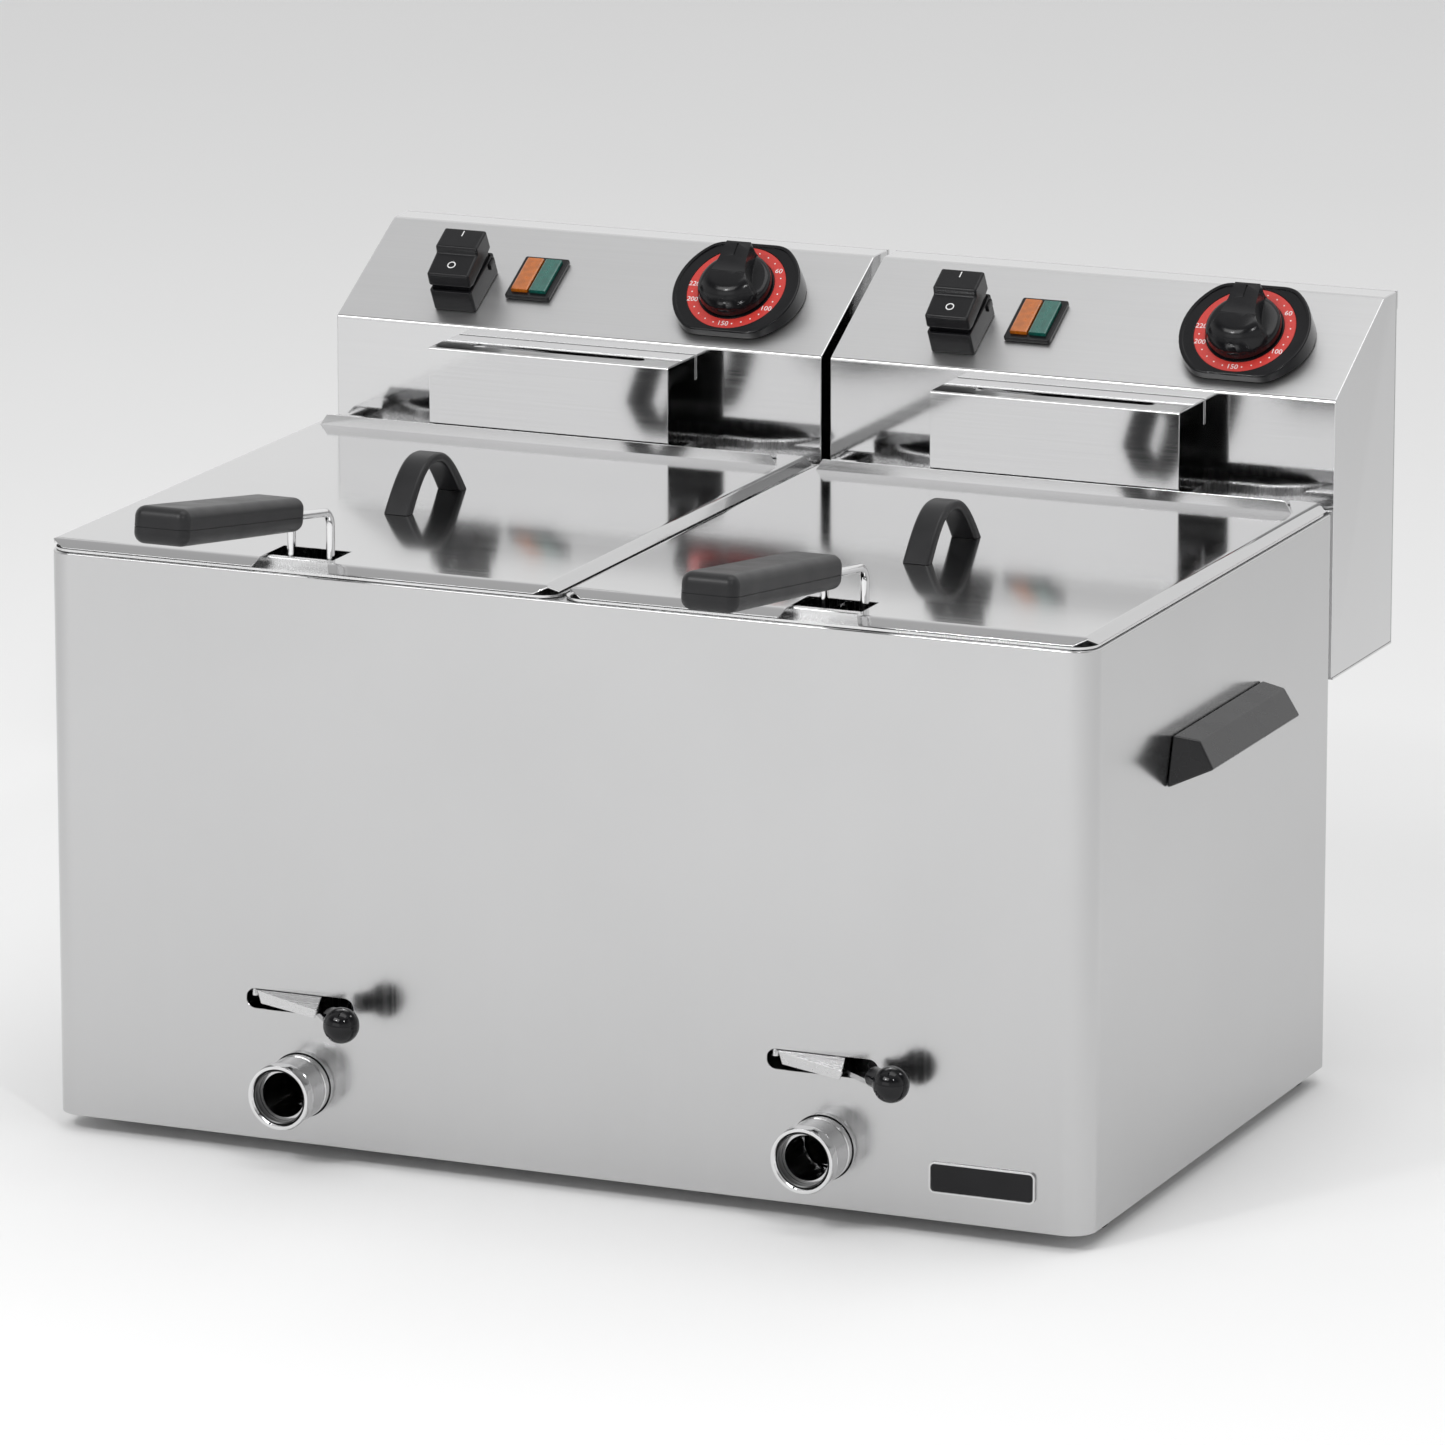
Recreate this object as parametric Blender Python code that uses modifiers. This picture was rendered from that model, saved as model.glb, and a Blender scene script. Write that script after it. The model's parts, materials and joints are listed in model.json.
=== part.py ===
"""Counter-top electric deep fryer with two tanks, modelled in metres with +Z up.

Each tank has a lid, a basket, a ball-valve drain tap and a lift-off control head with its element.
X runs to the user's right and Y to the back. A "depth" below is measured back from the front panel.
"""

import math

import bmesh
import bpy
from mathutils import Matrix, Vector

# ---- Driving dimensions ----
GAP = 0.0003  # clearance between pieces that touch
SHEET = 0.0010

BODY_WIDTH = 0.5600
BODY_DEPTH = 0.3387
FRONT_CORNER = 0.0134
BACK_CORNER = 0.0060
FOOT_HEIGHT = 0.0085
CASING_TOP = 0.2995
HALF_PITCH = 0.1412  # from the body's middle to the middle of each tank

RIM_SHEET = 0.0012
RIM_BOTTOM = CASING_TOP + GAP
RIM_TOP = RIM_BOTTOM + RIM_SHEET
TANK_WIDTH = 0.2400
TANK_LENGTH = 0.3000
TANK_FRONT = 0.0155
TANK_CORNER = 0.0300
TANK_FLOOR = 0.1000

DRAIN_HEIGHT = 0.0385
TAP_RADIUS = 0.0162
TAP_FRONT = -0.0195
TAP_BACK = 0.0525
STEM_DEPTH = 0.0143
BALL_RADIUS = 0.0135
OUTLET_DEPTH = 0.0720
OUTLET_BEND = 0.0180
OUTLET_RADIUS = 0.0150
OUTLET_BORE = 0.0125

SLOT_HALF_LENGTH = 0.0295
SLOT_BOTTOM = 0.0757
SLOT_TOP = 0.0858
LEVER_BOTTOM = 0.0761
LEVER_TOP = 0.0786
LEVER_WIDTH = 0.0060
LEVER_REACH = 0.0455
KNOB_REACH = 0.0539
KNOB_HEIGHT = 0.0800
KNOB_RADIUS = 0.0091
SLEEVE_START = 0.0375
SLEEVE_RADIUS = 0.0052
TAP_REST_DEG = {"left": 41.0, "right": 54.0}

LATCH_HINGE = (-0.0262, 0.0040)  # from the tank's middle, and depth
LATCH_TIP = (0.0175, -0.0175)
LATCH_TOP = 0.0853
LATCH_SLOPE = 0.1430
LATCH_LIP_BOTTOM = 0.0790
LATCH_SHEET = 0.0008

LID_SHEET = 0.0008
LID_HALF_WIDTH = 0.1343
LID_FOLD = 0.0045
LID_FRONT = 0.0045
LID_BACK = 0.3000
LID_BOTTOM = RIM_TOP + 0.0004
LID_TOP = LID_BOTTOM + LID_FOLD + 0.0003
LID_UPSTAND = 0.0062
LID_EAR_BACK = 0.3280
LID_CORNER_CUT = 0.0057
NOTCH_HALF_WIDTH = 0.0175
NOTCH_DEPTH = 0.0300

STRAP_FRONT = 0.1160
STRAP_BACK = 0.1876
STRAP_HEIGHT = 0.0250
STRAP_WIDTH = 0.0140
STRAP_FOOT = 0.0075  # the strap's thickness where it meets the lid, along Y
STRAP_CROWN = 0.0048

BASKET_HALF_WIDTH = 0.1000
BASKET_FRONT = 0.0264
BASKET_BACK = 0.2860
BASKET_BOTTOM = 0.1460
BASKET_TOP = 0.2620
BASKET_WALL = 0.0020
BASKET_SHIFT = {"left": -0.0054, "right": 0.0025}
WIRE_RADIUS = 0.0022
WIRE_HALF_SPACING = 0.0107
WIRE_DEPTH = 0.0236
WIRE_BOTTOM = 0.2150
WIRE_BEND_HEIGHT = {"left": 0.3289, "right": 0.3250}
GRIP_TILT_DEG = {"left": 8.6, "right": 7.1}
GRIP_BACK = -0.0104
GRIP_LENGTH = 0.1340
GRIP_WIDTH = 0.0295
GRIP_THICKNESS = 0.0178
GRIP_SOCKET = 0.0300

HEAD_HALF_WIDTH = 0.1388
HEAD_FRONT = 0.3392
HEAD_BACK = 0.4283
HEAD_BOTTOM = 0.2130
HEAD_BEND = 0.3569
HEAD_TOP_FRONT = 0.4111
HEAD_TOP = 0.3973
COVER_HALF_WIDTH = 0.0680
COVER_FRONT = 0.3025
COVER_BACK = 0.3388
COVER_TOP = 0.3523
COVER_BOTTOM = 0.2960
COVER_BACK_BOTTOM = 0.3390

ELEMENT_RADIUS = 0.0032
ELEMENT_HEIGHT = 0.1280
ELEMENT_TERMINAL_HEIGHT = 0.3260
ELEMENT_DEPTH = 0.3090
ELEMENT_FRONT = 0.0500
ELEMENT_INNER = 0.0300
ELEMENT_OUTER = 0.0900
ELEMENT_BEND = 0.0120

DIAL_TILT_DEG = 41.0
DIAL_OFFSET = 0.0796
DIAL_ALONG = 0.0360
DIAL_RISE = 0.0110
DIAL_RADIUS = 0.0350
DIAL_FLAT = 0.0298
SHAFT_RADIUS = 0.0030
DIAL_KNOB_RADIUS = 0.0200
DIAL_KNOB_HEIGHT = 0.0155
KNOB_BAR = (0.0080, 0.0185)  # half the bar's width, and how far it reaches towards its pointer

SWITCH_OFFSET = -0.0744
SWITCH_ALONG = 0.0280
SWITCH_SIZE = (0.0240, 0.0340)
SWITCH_RIM = 0.0115
SWITCH_PIVOT = 0.0100
LAMP_OFFSET = -0.0378
LAMP_ALONG = 0.0402
LAMP_SIZE = (0.0254, 0.0324)

SIDE_HANDLE_FRONT = 0.1007
SIDE_HANDLE_BACK = 0.2439
SIDE_HANDLE_REACH = 0.0212
SIDE_HANDLE_BOTTOM = 0.2093
SIDE_HANDLE_TOP = 0.2347

GLAND_END = 0.4453
GLAND_HEIGHT = 0.2400
GRIP_FRONT = -0.14903  # the left grip's tip
FRONT_Y = -(GLAND_END + GRIP_FRONT) / 2  # the front panel, so that the origin is under the middle

SIDES = {"left": -1, "right": 1}


# ---- Scene helpers ----
def clear_scene():
    for obj in list(bpy.data.objects):
        bpy.data.objects.remove(obj, do_unlink=True)


def new_collection(name):
    collection = bpy.data.collections.new(name)
    bpy.context.scene.collection.children.link(collection)
    return collection


def new_material(name, colour, metallic, roughness):
    material = bpy.data.materials.new(name)
    material.use_nodes = True
    shader = material.node_tree.nodes["Principled BSDF"]
    shader.inputs["Base Color"].default_value = (*colour, 1.0)
    shader.inputs["Metallic"].default_value = metallic
    shader.inputs["Roughness"].default_value = roughness
    material.diffuse_color = (*colour, 1.0)
    return material


clear_scene()
PARTS = new_collection("deep_fryer")
CUTTERS = new_collection("cutters")
LOOKS = {
    "steel": ((0.62, 0.62, 0.61), 1.0, 0.28),
    "bright_steel": ((0.72, 0.72, 0.71), 1.0, 0.12),
    "chrome": ((0.78, 0.78, 0.78), 1.0, 0.06),
    "black_matte": ((0.018, 0.018, 0.018), 0.0, 0.48),
    "black_gloss": ((0.012, 0.012, 0.012), 0.0, 0.14),
    "rubber": ((0.020, 0.020, 0.020), 0.0, 0.80),
    "amber": ((0.72, 0.20, 0.02), 0.0, 0.20),
    "green": ((0.03, 0.28, 0.20), 0.0, 0.20),
    "element_metal": ((0.20, 0.19, 0.18), 1.0, 0.40),
}


# ---- Shape helpers ----
def at(x, depth, z):
    return Vector((x, FRONT_Y + depth, z))


def add_object(name, data, look, matrix=None):
    """A new object in the parts' collection, or among the cutters when it has no look."""
    obj = bpy.data.objects.new(name, data)
    if matrix is not None:
        obj.matrix_world = matrix
    if look is None:
        CUTTERS.objects.link(obj)
        obj.hide_render = True
        obj.display_type = "WIRE"
        return obj
    PARTS.objects.link(obj)
    data.materials.append(new_material(name, *LOOKS[look]))
    return obj


def from_bmesh(name, bm, look, matrix=None, smooth=False):
    bmesh.ops.recalc_face_normals(bm, faces=bm.faces)
    mesh = bpy.data.meshes.new(name)
    bm.to_mesh(mesh)
    bm.free()
    if smooth:
        mesh.shade_smooth()
        mesh.set_sharp_from_angle(angle=math.radians(35))
    return add_object(name, mesh, look, matrix)


def cube_bmesh(low, high):
    bm = bmesh.new()
    bmesh.ops.create_cube(bm, size=1.0)
    low, high = Vector(low), Vector(high)
    bmesh.ops.scale(bm, vec=high - low, verts=bm.verts)
    bmesh.ops.translate(bm, vec=(low + high) / 2, verts=bm.verts)
    return bm


def bevel_edges(bm, edges, width, segments):
    bmesh.ops.bevel(
        bm, geom=list(edges), offset=width, offset_type="OFFSET", segments=segments, profile=0.5, affect="EDGES"
    )


def runs_along(edge, axis):
    start, end = edge.verts
    return abs(abs((end.co - start.co).normalized()[axis]) - 1) < 1e-4


def box(name, low, high, look, width=0.0, segments=2, matrix=None):
    """A box between two corners, with every edge rounded when a width is given."""
    bm = cube_bmesh(low, high)
    if width:
        bevel_edges(bm, bm.edges, width, segments)
    return from_bmesh(name, bm, look, matrix)


def rounded_prism(name, low, high, radius, segments, look, axis=2, matrix=None):
    """A box whose edges along one axis are rounded."""
    bm = cube_bmesh(low, high)
    bevel_edges(bm, [edge for edge in bm.edges if runs_along(edge, axis)], radius, segments)
    return from_bmesh(name, bm, look, matrix)


def cylinder_bmesh(radius, top_radius, low, high, sides):
    """A cylinder or a cone along Z between two heights."""
    bm = bmesh.new()
    bmesh.ops.create_cone(
        bm, cap_ends=True, segments=sides, radius1=radius, radius2=top_radius, depth=high - low
    )
    bmesh.ops.translate(bm, vec=(0, 0, (low + high) / 2), verts=bm.verts)
    return bm


def cylinder(name, radius, low, high, look, matrix, sides=24, top_radius=None):
    bm = cylinder_bmesh(radius, radius if top_radius is None else top_radius, low, high, sides)
    return from_bmesh(name, bm, look, matrix, smooth=True)


def turned(name, profile, look, matrix, steps=24):
    """A Screw of a closed profile: (radius, height) points from the top down its outer side."""
    mesh = bpy.data.meshes.new(name)
    edges = [(i, i + 1) for i in range(len(profile) - 1)]
    if profile[0][0] > 0:
        edges.append((len(profile) - 1, 0))
    mesh.from_pydata([(radius, 0, height) for radius, height in profile], edges, [])
    obj = add_object(name, mesh, look, matrix)
    screw = obj.modifiers.new("turn", "SCREW")
    screw.steps = screw.render_steps = steps
    screw.use_merge_vertices = True
    screw.merge_threshold = 0.00001
    screw.use_smooth_shade = True
    return obj


def filleted(corners, radius, steps=4):
    """The points of a route whose inner corners are replaced by arcs."""
    route = [Vector(corners[0])]
    for before, corner, after in zip(corners, corners[1:], corners[2:]):
        corner = Vector(corner)
        back = (Vector(before) - corner).normalized()
        ahead = (Vector(after) - corner).normalized()
        half = back.angle(ahead) / 2
        reach = radius / math.tan(half)
        centre = corner + (back + ahead).normalized() * (radius / math.sin(half))
        start = corner + back * reach - centre
        end = corner + ahead * reach - centre
        for i in range(steps + 1):
            route.append(centre + start.lerp(end, i / steps).normalized() * radius)
    route.append(Vector(corners[-1]))
    return route


def tube(name, points, radius, look, resolution=2):
    """A round bar along a route."""
    curve = bpy.data.curves.new(name, "CURVE")
    curve.dimensions = "3D"
    curve.bevel_depth = radius
    curve.bevel_resolution = resolution
    curve.use_fill_caps = True
    spline = curve.splines.new("POLY")
    spline.points.add(len(points) - 1)
    for point, place in zip(spline.points, points):
        point.co = (*place, 1.0)
    return add_object(name, curve, look)


ACROSS = Matrix(((0, 0, 1, 0), (1, 0, 0, 0), (0, 1, 0, 0), (0, 0, 0, 1)))  # an outline in Y and Z, along X


def flat_outline(name, outline, low, high, look, matrix=None):
    """A closed outline of (x, y) points made solid from one height to another."""
    curve = bpy.data.curves.new(name, "CURVE")
    curve.dimensions = "2D"
    curve.fill_mode = "BOTH"
    curve.extrude = (high - low) / 2
    spline = curve.splines.new("POLY")
    spline.points.add(len(outline) - 1)
    for point, (x, y) in zip(spline.points, outline):
        point.co = (x, y, 0.0, 1.0)
    spline.use_cyclic_u = True
    place = Matrix.Translation((0, 0, (low + high) / 2))
    obj = add_object(name, curve, look, place if matrix is None else matrix @ place)
    return as_mesh(obj)


def as_mesh(obj):
    """The same object as a mesh with its caps welded, so that it can be cut or joined."""
    bpy.context.view_layer.update()
    graph = bpy.context.evaluated_depsgraph_get()
    mesh = bpy.data.meshes.new_from_object(obj.evaluated_get(graph))
    bm = bmesh.new()
    bm.from_mesh(mesh)
    bmesh.ops.remove_doubles(bm, verts=bm.verts, dist=0.00001)
    bmesh.ops.recalc_face_normals(bm, faces=bm.faces)
    bm.to_mesh(mesh)
    bm.free()
    name, matrix = obj.name, obj.matrix_world.copy()
    is_cutter = obj.hide_render
    bpy.data.objects.remove(obj, do_unlink=True)
    made = bpy.data.objects.new(name, mesh)
    made.matrix_world = matrix
    made.hide_render = is_cutter
    made.display_type = "WIRE" if is_cutter else "TEXTURED"
    (CUTTERS if is_cutter else PARTS).objects.link(made)
    return made


def boolean(obj, other, operation):
    modifier = obj.modifiers.new(operation.lower(), "BOOLEAN")
    modifier.operation = operation
    modifier.solver = "EXACT"
    modifier.object = other


def cut(obj, *cutters):
    for cutter in cutters:
        boolean(obj, cutter, "DIFFERENCE")
    return obj


def join(obj, *others):
    for other in others:
        boolean(obj, other, "UNION")
    return obj


def solidify(obj, thickness, offset=-1.0):
    modifier = obj.modifiers.new("sheet", "SOLIDIFY")
    modifier.thickness = thickness
    modifier.offset = offset
    modifier.use_even_offset = True
    return obj


def under(obj, parent):
    """Parents an object and keeps it where it is."""
    bpy.context.view_layer.update()
    obj.parent = parent
    obj.matrix_parent_inverse = parent.matrix_world.inverted()
    return obj


def pivot(name, place):
    empty = bpy.data.objects.new(name, None)
    empty.location = place
    empty.empty_display_size = 0.02
    PARTS.objects.link(empty)
    return empty


def along_y(x, z):
    """A frame whose Z axis points to the back, for pieces turned about the tap's bore."""
    return Matrix.Translation(at(x, 0, z)) @ Matrix.Rotation(math.radians(-90), 4, "X")


def panel_frame(x):
    """The sloped panel's frame: X right, Y up the slope, Z out of it, at the bend."""
    rise = math.atan2(HEAD_TOP - HEAD_BEND, HEAD_TOP_FRONT - HEAD_FRONT)
    return Matrix.Translation(at(x, HEAD_FRONT, HEAD_BEND)) @ Matrix.Rotation(rise, 4, "X")


def dial_frame(x):
    """The dial face's frame: X right, Y up, Z along the knob's axis."""
    centre = panel_frame(x) @ Vector((DIAL_OFFSET, DIAL_ALONG, DIAL_RISE))
    return Matrix.Translation(centre) @ Matrix.Rotation(math.radians(DIAL_TILT_DEG), 4, "X")


# ---- Cabinet ----
def casing():
    """Wrap-round shell, open below, with the tank openings in its top."""
    half = BODY_WIDTH / 2
    bm = cube_bmesh(at(-half, 0, FOOT_HEIGHT), at(half, BODY_DEPTH, CASING_TOP))
    upright = [edge for edge in bm.edges if runs_along(edge, 2)]
    middle = FRONT_Y + BODY_DEPTH / 2
    back = [edge for edge in upright if edge.verts[0].co.y > middle]
    front = [edge for edge in upright if edge.verts[0].co.y < middle]
    bevel_edges(bm, front, FRONT_CORNER, 6)
    bevel_edges(bm, back, BACK_CORNER, 3)
    open_face = min(bm.faces, key=lambda face: face.calc_center_median().z)
    bmesh.ops.delete(bm, geom=[open_face], context="FACES_ONLY")
    shell = solidify(from_bmesh("casing", bm, "steel"), SHEET)
    for side, sign in SIDES.items():
        x = sign * HALF_PITCH
        room = SHEET + 0.0005
        opening = rounded_prism(
            f"cut_tank_opening_{side}",
            at(x - TANK_WIDTH / 2 - room, TANK_FRONT - room, CASING_TOP - 0.01),
            at(x + TANK_WIDTH / 2 + room, TANK_FRONT + TANK_LENGTH + room, CASING_TOP + 0.01),
            TANK_CORNER + room, 5, None,
        )
        slot = rounded_prism(
            f"cut_lever_slot_{side}",
            at(x - SLOT_HALF_LENGTH, -0.005, SLOT_BOTTOM),
            at(x + SLOT_HALF_LENGTH, 0.005, SLOT_TOP),
            (SLOT_TOP - SLOT_BOTTOM) / 2 * 0.999, 6, None, axis=1,
        )
        hole = cylinder(f"cut_tap_hole_{side}", TAP_RADIUS + 0.0010, -0.005, 0.005, None,
                        along_y(x, DRAIN_HEIGHT), sides=32)
        cut(shell, opening, slot, hole)
    return shell


def bottom_plate():
    inset = SHEET + 0.0004
    half = BODY_WIDTH / 2 - inset
    return rounded_prism(
        "bottom_plate", at(-half, inset, FOOT_HEIGHT + 0.0005), at(half, BODY_DEPTH - inset, FOOT_HEIGHT + 0.0015),
        FRONT_CORNER - SHEET, 5, "steel",
    )


def feet():
    for side, sign in SIDES.items():
        for row, depth in (("front", 0.0500), ("rear", 0.3262)):
            cylinder(f"foot_{row}_{side}", 0.0095, 0, FOOT_HEIGHT + 0.0005 - GAP, "rubber",
                     Matrix.Translation(at(sign * 0.2610, depth, 0)), sides=20, top_radius=0.0115)


def badge():
    """Plain plate without lettering."""
    return rounded_prism("badge", at(0.1980, -0.0018, 0.0228), at(0.2534, -GAP, 0.0386),
                         0.0030, 4, "black_gloss", axis=1)


def side_handle(side):
    """Trapezoid bar handle, hollow underneath for the fingers."""
    sign = SIDES[side]
    bm = cube_bmesh((0, 0, 0), (1, 1, 1))
    half = (SIDE_HANDLE_BACK - SIDE_HANDLE_FRONT) / 2
    middle = (SIDE_HANDLE_BACK + SIDE_HANDLE_FRONT) / 2
    for vert in bm.verts:
        out, back, up = vert.co.x > 0.5, vert.co.y > 0.5, vert.co.z > 0.5
        reach = (0.0133 if up else SIDE_HANDLE_REACH) if out else GAP
        inset = (0.0105 if up else 0.0091) if out else (0.0077 if up else 0.0)
        height = SIDE_HANDLE_TOP - (0.0019 if out else 0) if up else SIDE_HANDLE_BOTTOM + (0.0091 if out else 0)
        depth = middle + (half - inset) * (1 if back else -1)
        vert.co = at(sign * (BODY_WIDTH / 2 + reach), depth, height)
    bmesh.ops.recalc_face_normals(bm, faces=bm.faces)
    bevel_edges(bm, bm.edges, 0.0012, 1)
    handle = from_bmesh(f"side_handle_{side}", bm, "black_matte")
    near, far = sorted((sign * (BODY_WIDTH / 2 + 0.0035), sign * (BODY_WIDTH / 2 + 0.0120)))
    hollow = box(f"cut_side_handle_{side}", at(near, SIDE_HANDLE_FRONT + 0.0150, 0.2000),
                 at(far, SIDE_HANDLE_BACK - 0.0150, 0.2300), None)
    return cut(handle, hollow)


# ---- Tank and drain tap ----
def tank(side):
    """Deep-drawn tank with a flat rim and its outlet pipe."""
    x = SIDES[side] * HALF_PITCH
    inner, outer = sorted((SIDES[side] * 0.0007, SIDES[side] * (BODY_WIDTH / 2 - 0.0015)))
    body = rounded_prism(f"tank_{side}", at(inner, 0.0015, RIM_BOTTOM), at(outer, BODY_DEPTH - 0.0015, RIM_TOP),
                         0.0100, 4, "bright_steel")
    half = TANK_WIDTH / 2
    bowl = rounded_prism(f"add_tank_bowl_{side}",
                         at(x - half - SHEET, TANK_FRONT - SHEET, TANK_FLOOR - SHEET),
                         at(x + half + SHEET, TANK_FRONT + TANK_LENGTH + SHEET, RIM_TOP - 0.0004),
                         TANK_CORNER + SHEET, 5, None)
    hollow = rounded_prism(f"cut_tank_{side}", at(x - half, TANK_FRONT, TANK_FLOOR),
                           at(x + half, TANK_FRONT + TANK_LENGTH, RIM_TOP + 0.01), TANK_CORNER, 5, None)
    level = DRAIN_HEIGHT
    corner = at(x, OUTLET_DEPTH, level)
    pipe = as_mesh(tube(f"add_outlet_{side}",
                        filleted([at(x, OUTLET_DEPTH, TANK_FLOOR - 0.0005), corner, at(x, TAP_BACK + GAP, level)],
                                 OUTLET_BEND), OUTLET_RADIUS, None, resolution=4))
    bore = as_mesh(tube(f"cut_outlet_{side}",
                        filleted([at(x, OUTLET_DEPTH, TANK_FLOOR + 0.004), corner, at(x, TAP_BACK - 0.004, level)],
                                 OUTLET_BEND), OUTLET_BORE, None, resolution=4))
    join(body, bowl)
    cut(body, hollow)
    join(body, pipe)
    return cut(body, bore)


def tap_body(side):
    """Ball-valve body: a bored cylinder with a boss for the stem."""
    x = SIDES[side] * HALF_PITCH
    frame = along_y(x, DRAIN_HEIGHT)
    body = cylinder(f"drain_valve_body_{side}", TAP_RADIUS, TAP_FRONT, TAP_BACK, "chrome", frame, sides=28)
    upright = Matrix.Translation(at(x, STEM_DEPTH, 0))
    boss = cylinder(f"add_stem_boss_{side}", 0.0085, DRAIN_HEIGHT, 0.0605, None, upright, sides=20)
    bore = cylinder(f"cut_tap_bore_{side}", 0.0115, -0.08, 0.08, None, frame, sides=24)
    bm = bmesh.new()
    bmesh.ops.create_uvsphere(bm, u_segments=16, v_segments=10, radius=BALL_RADIUS + 0.0005)
    seat = from_bmesh(f"cut_ball_seat_{side}", bm, None, Matrix.Translation(at(x, STEM_DEPTH, DRAIN_HEIGHT)))
    stem = cylinder(f"cut_stem_{side}", 0.0043, DRAIN_HEIGHT, 0.08, None, upright, sides=16)
    join(body, boss)
    return cut(body, bore, seat, stem)


def nipple(side):
    """Octagonal end collar with an open bore."""
    x = SIDES[side] * HALF_PITCH
    frame = along_y(x, DRAIN_HEIGHT) @ Matrix.Rotation(math.radians(22.5), 4, "Z")
    corner_radius = 0.0165 / math.cos(math.radians(22.5))
    collar = cylinder(f"drain_nipple_{side}", corner_radius, -0.0262, TAP_FRONT - GAP, "chrome", frame, sides=8)
    bore = cylinder(f"cut_nipple_{side}", 0.0130, -0.05, 0.0, None, frame, sides=32)
    return cut(collar, bore)


def valve_frame(side):
    """The tap's turning frame: Z up the stem, and the lever along local -Y."""
    turn = Matrix.Rotation(math.radians(TAP_REST_DEG[side]), 4, "Z")
    return Matrix.Translation(at(SIDES[side] * HALF_PITCH, STEM_DEPTH, 0)) @ turn


def drain_ball(side):
    """Bored ball with its stem. The bore lies across the pipe when the tap is closed."""
    frame = valve_frame(side)
    bm = bmesh.new()
    bmesh.ops.create_uvsphere(bm, u_segments=16, v_segments=10, radius=BALL_RADIUS)
    ball = from_bmesh(f"drain_ball_{side}", bm, "chrome", frame @ Matrix.Translation((0, 0, DRAIN_HEIGHT)), True)
    stem = cylinder(f"add_ball_stem_{side}", 0.0038, DRAIN_HEIGHT + 0.0120, LEVER_BOTTOM - GAP, None, frame, sides=12)
    turn = Matrix.Rotation(math.radians(36 - 90), 4, "Z") @ Matrix.Rotation(math.radians(90), 4, "X")
    bore = cylinder(f"cut_ball_bore_{side}", 0.0100, -0.05, 0.05, None,
                    frame @ Matrix.Translation((0, 0, DRAIN_HEIGHT)) @ turn, sides=24)
    join(ball, stem)
    return cut(ball, bore)


def drain_lever(side):
    """Flat bar on a round hub, with the nut above it."""
    frame = valve_frame(side)
    hub = cylinder(f"drain_lever_{side}", 0.0065, LEVER_BOTTOM, LEVER_TOP, "steel", frame, sides=20)
    bar = box(f"add_lever_bar_{side}", (-LEVER_WIDTH / 2, -LEVER_REACH, LEVER_BOTTOM),
              (LEVER_WIDTH / 2, 0, LEVER_TOP), None, matrix=frame)
    nut = cylinder(f"add_lever_nut_{side}", 0.0045, LEVER_TOP - 0.0005, 0.0812, None, frame, sides=6)
    return join(hub, bar, nut)


def lever_knob(side):
    """Ball grip that tapers to the bar."""
    frame = valve_frame(side) @ Matrix.Translation((0, 0, KNOB_HEIGHT)) @ Matrix.Rotation(math.radians(90), 4, "X")
    neck = math.radians(136)
    arc = [neck * i / 9 for i in range(10)]
    profile = [(KNOB_RADIUS * math.sin(a), KNOB_REACH + KNOB_RADIUS * math.cos(a)) for a in arc]
    profile += [(SLEEVE_RADIUS, SLEEVE_START), (0, SLEEVE_START)]
    knob = turned(f"lever_knob_{side}", profile, "black_gloss", frame, steps=20)
    slack = GAP + 0.0001
    pocket = box(f"cut_lever_knob_{side}", (-LEVER_WIDTH / 2 - slack, -LEVER_REACH - slack, LEVER_BOTTOM - slack),
                 (LEVER_WIDTH / 2 + slack, -SLEEVE_START + 0.003, LEVER_TOP + slack), None, matrix=valve_frame(side))
    return cut(knob, pocket)


def latch(side):
    """Spring catch beside the lever: a sloping plate with a turned-down lip, hinged at its left end."""
    x = SIDES[side] * HALF_PITCH
    hinge_x, hinge_depth = LATCH_HINGE
    tip_x, tip_depth = LATCH_TIP
    outline = [(hinge_x, 0.0028), (-0.0228, -0.0012), (tip_x, tip_depth), (0.0110, 0.0030), (hinge_x, 0.0052)]
    bm = bmesh.new()
    verts = [bm.verts.new(at(x + px, depth, LATCH_TOP + LATCH_SLOPE * min(depth, 0))) for px, depth in outline]
    bm.faces.new(verts)
    bm.edges.ensure_lookup_table()
    front = bm.edges.get((verts[1], verts[2]))
    lip = bmesh.ops.extrude_edge_only(bm, edges=[front])["geom"]
    for vert in (item for item in lip if isinstance(item, bmesh.types.BMVert)):
        vert.co.z = LATCH_LIP_BOTTOM
    bmesh.ops.triangulate(bm, faces=bm.faces)
    plate = from_bmesh(f"latch_plate_{side}", bm, "bright_steel")
    solidify(plate, LATCH_SHEET, -1.0)
    barrel = cylinder(f"add_latch_barrel_{side}", 0.0022, LATCH_TOP - 0.0040, LATCH_TOP + 0.0012, None,
                      Matrix.Translation(at(x + hinge_x, hinge_depth, 0)), sides=12)
    join(plate, barrel)
    return under(plate, pivot(f"latch_pivot_{side}", at(x + hinge_x, hinge_depth, LATCH_TOP)))


# ---- Lid ----
def fold(bm, edge, out, drop, cut_start, cut_end):
    """Folds a strip from an edge of the sheet. Its free edge is cut back at both ends."""
    start, end = edge
    run = (end.co - start.co).normalized()
    made = bmesh.ops.extrude_edge_only(bm, edges=[bm.edges.get(edge)])["geom"]
    verts = [item for item in made if isinstance(item, bmesh.types.BMVert)]
    first = min(verts, key=lambda vert: (vert.co - start.co).length)
    last = max(verts, key=lambda vert: (vert.co - start.co).length)
    first.co += Vector(out) + Vector((0, 0, drop)) + run * cut_start
    last.co += Vector(out) + Vector((0, 0, drop)) - run * cut_end


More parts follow.
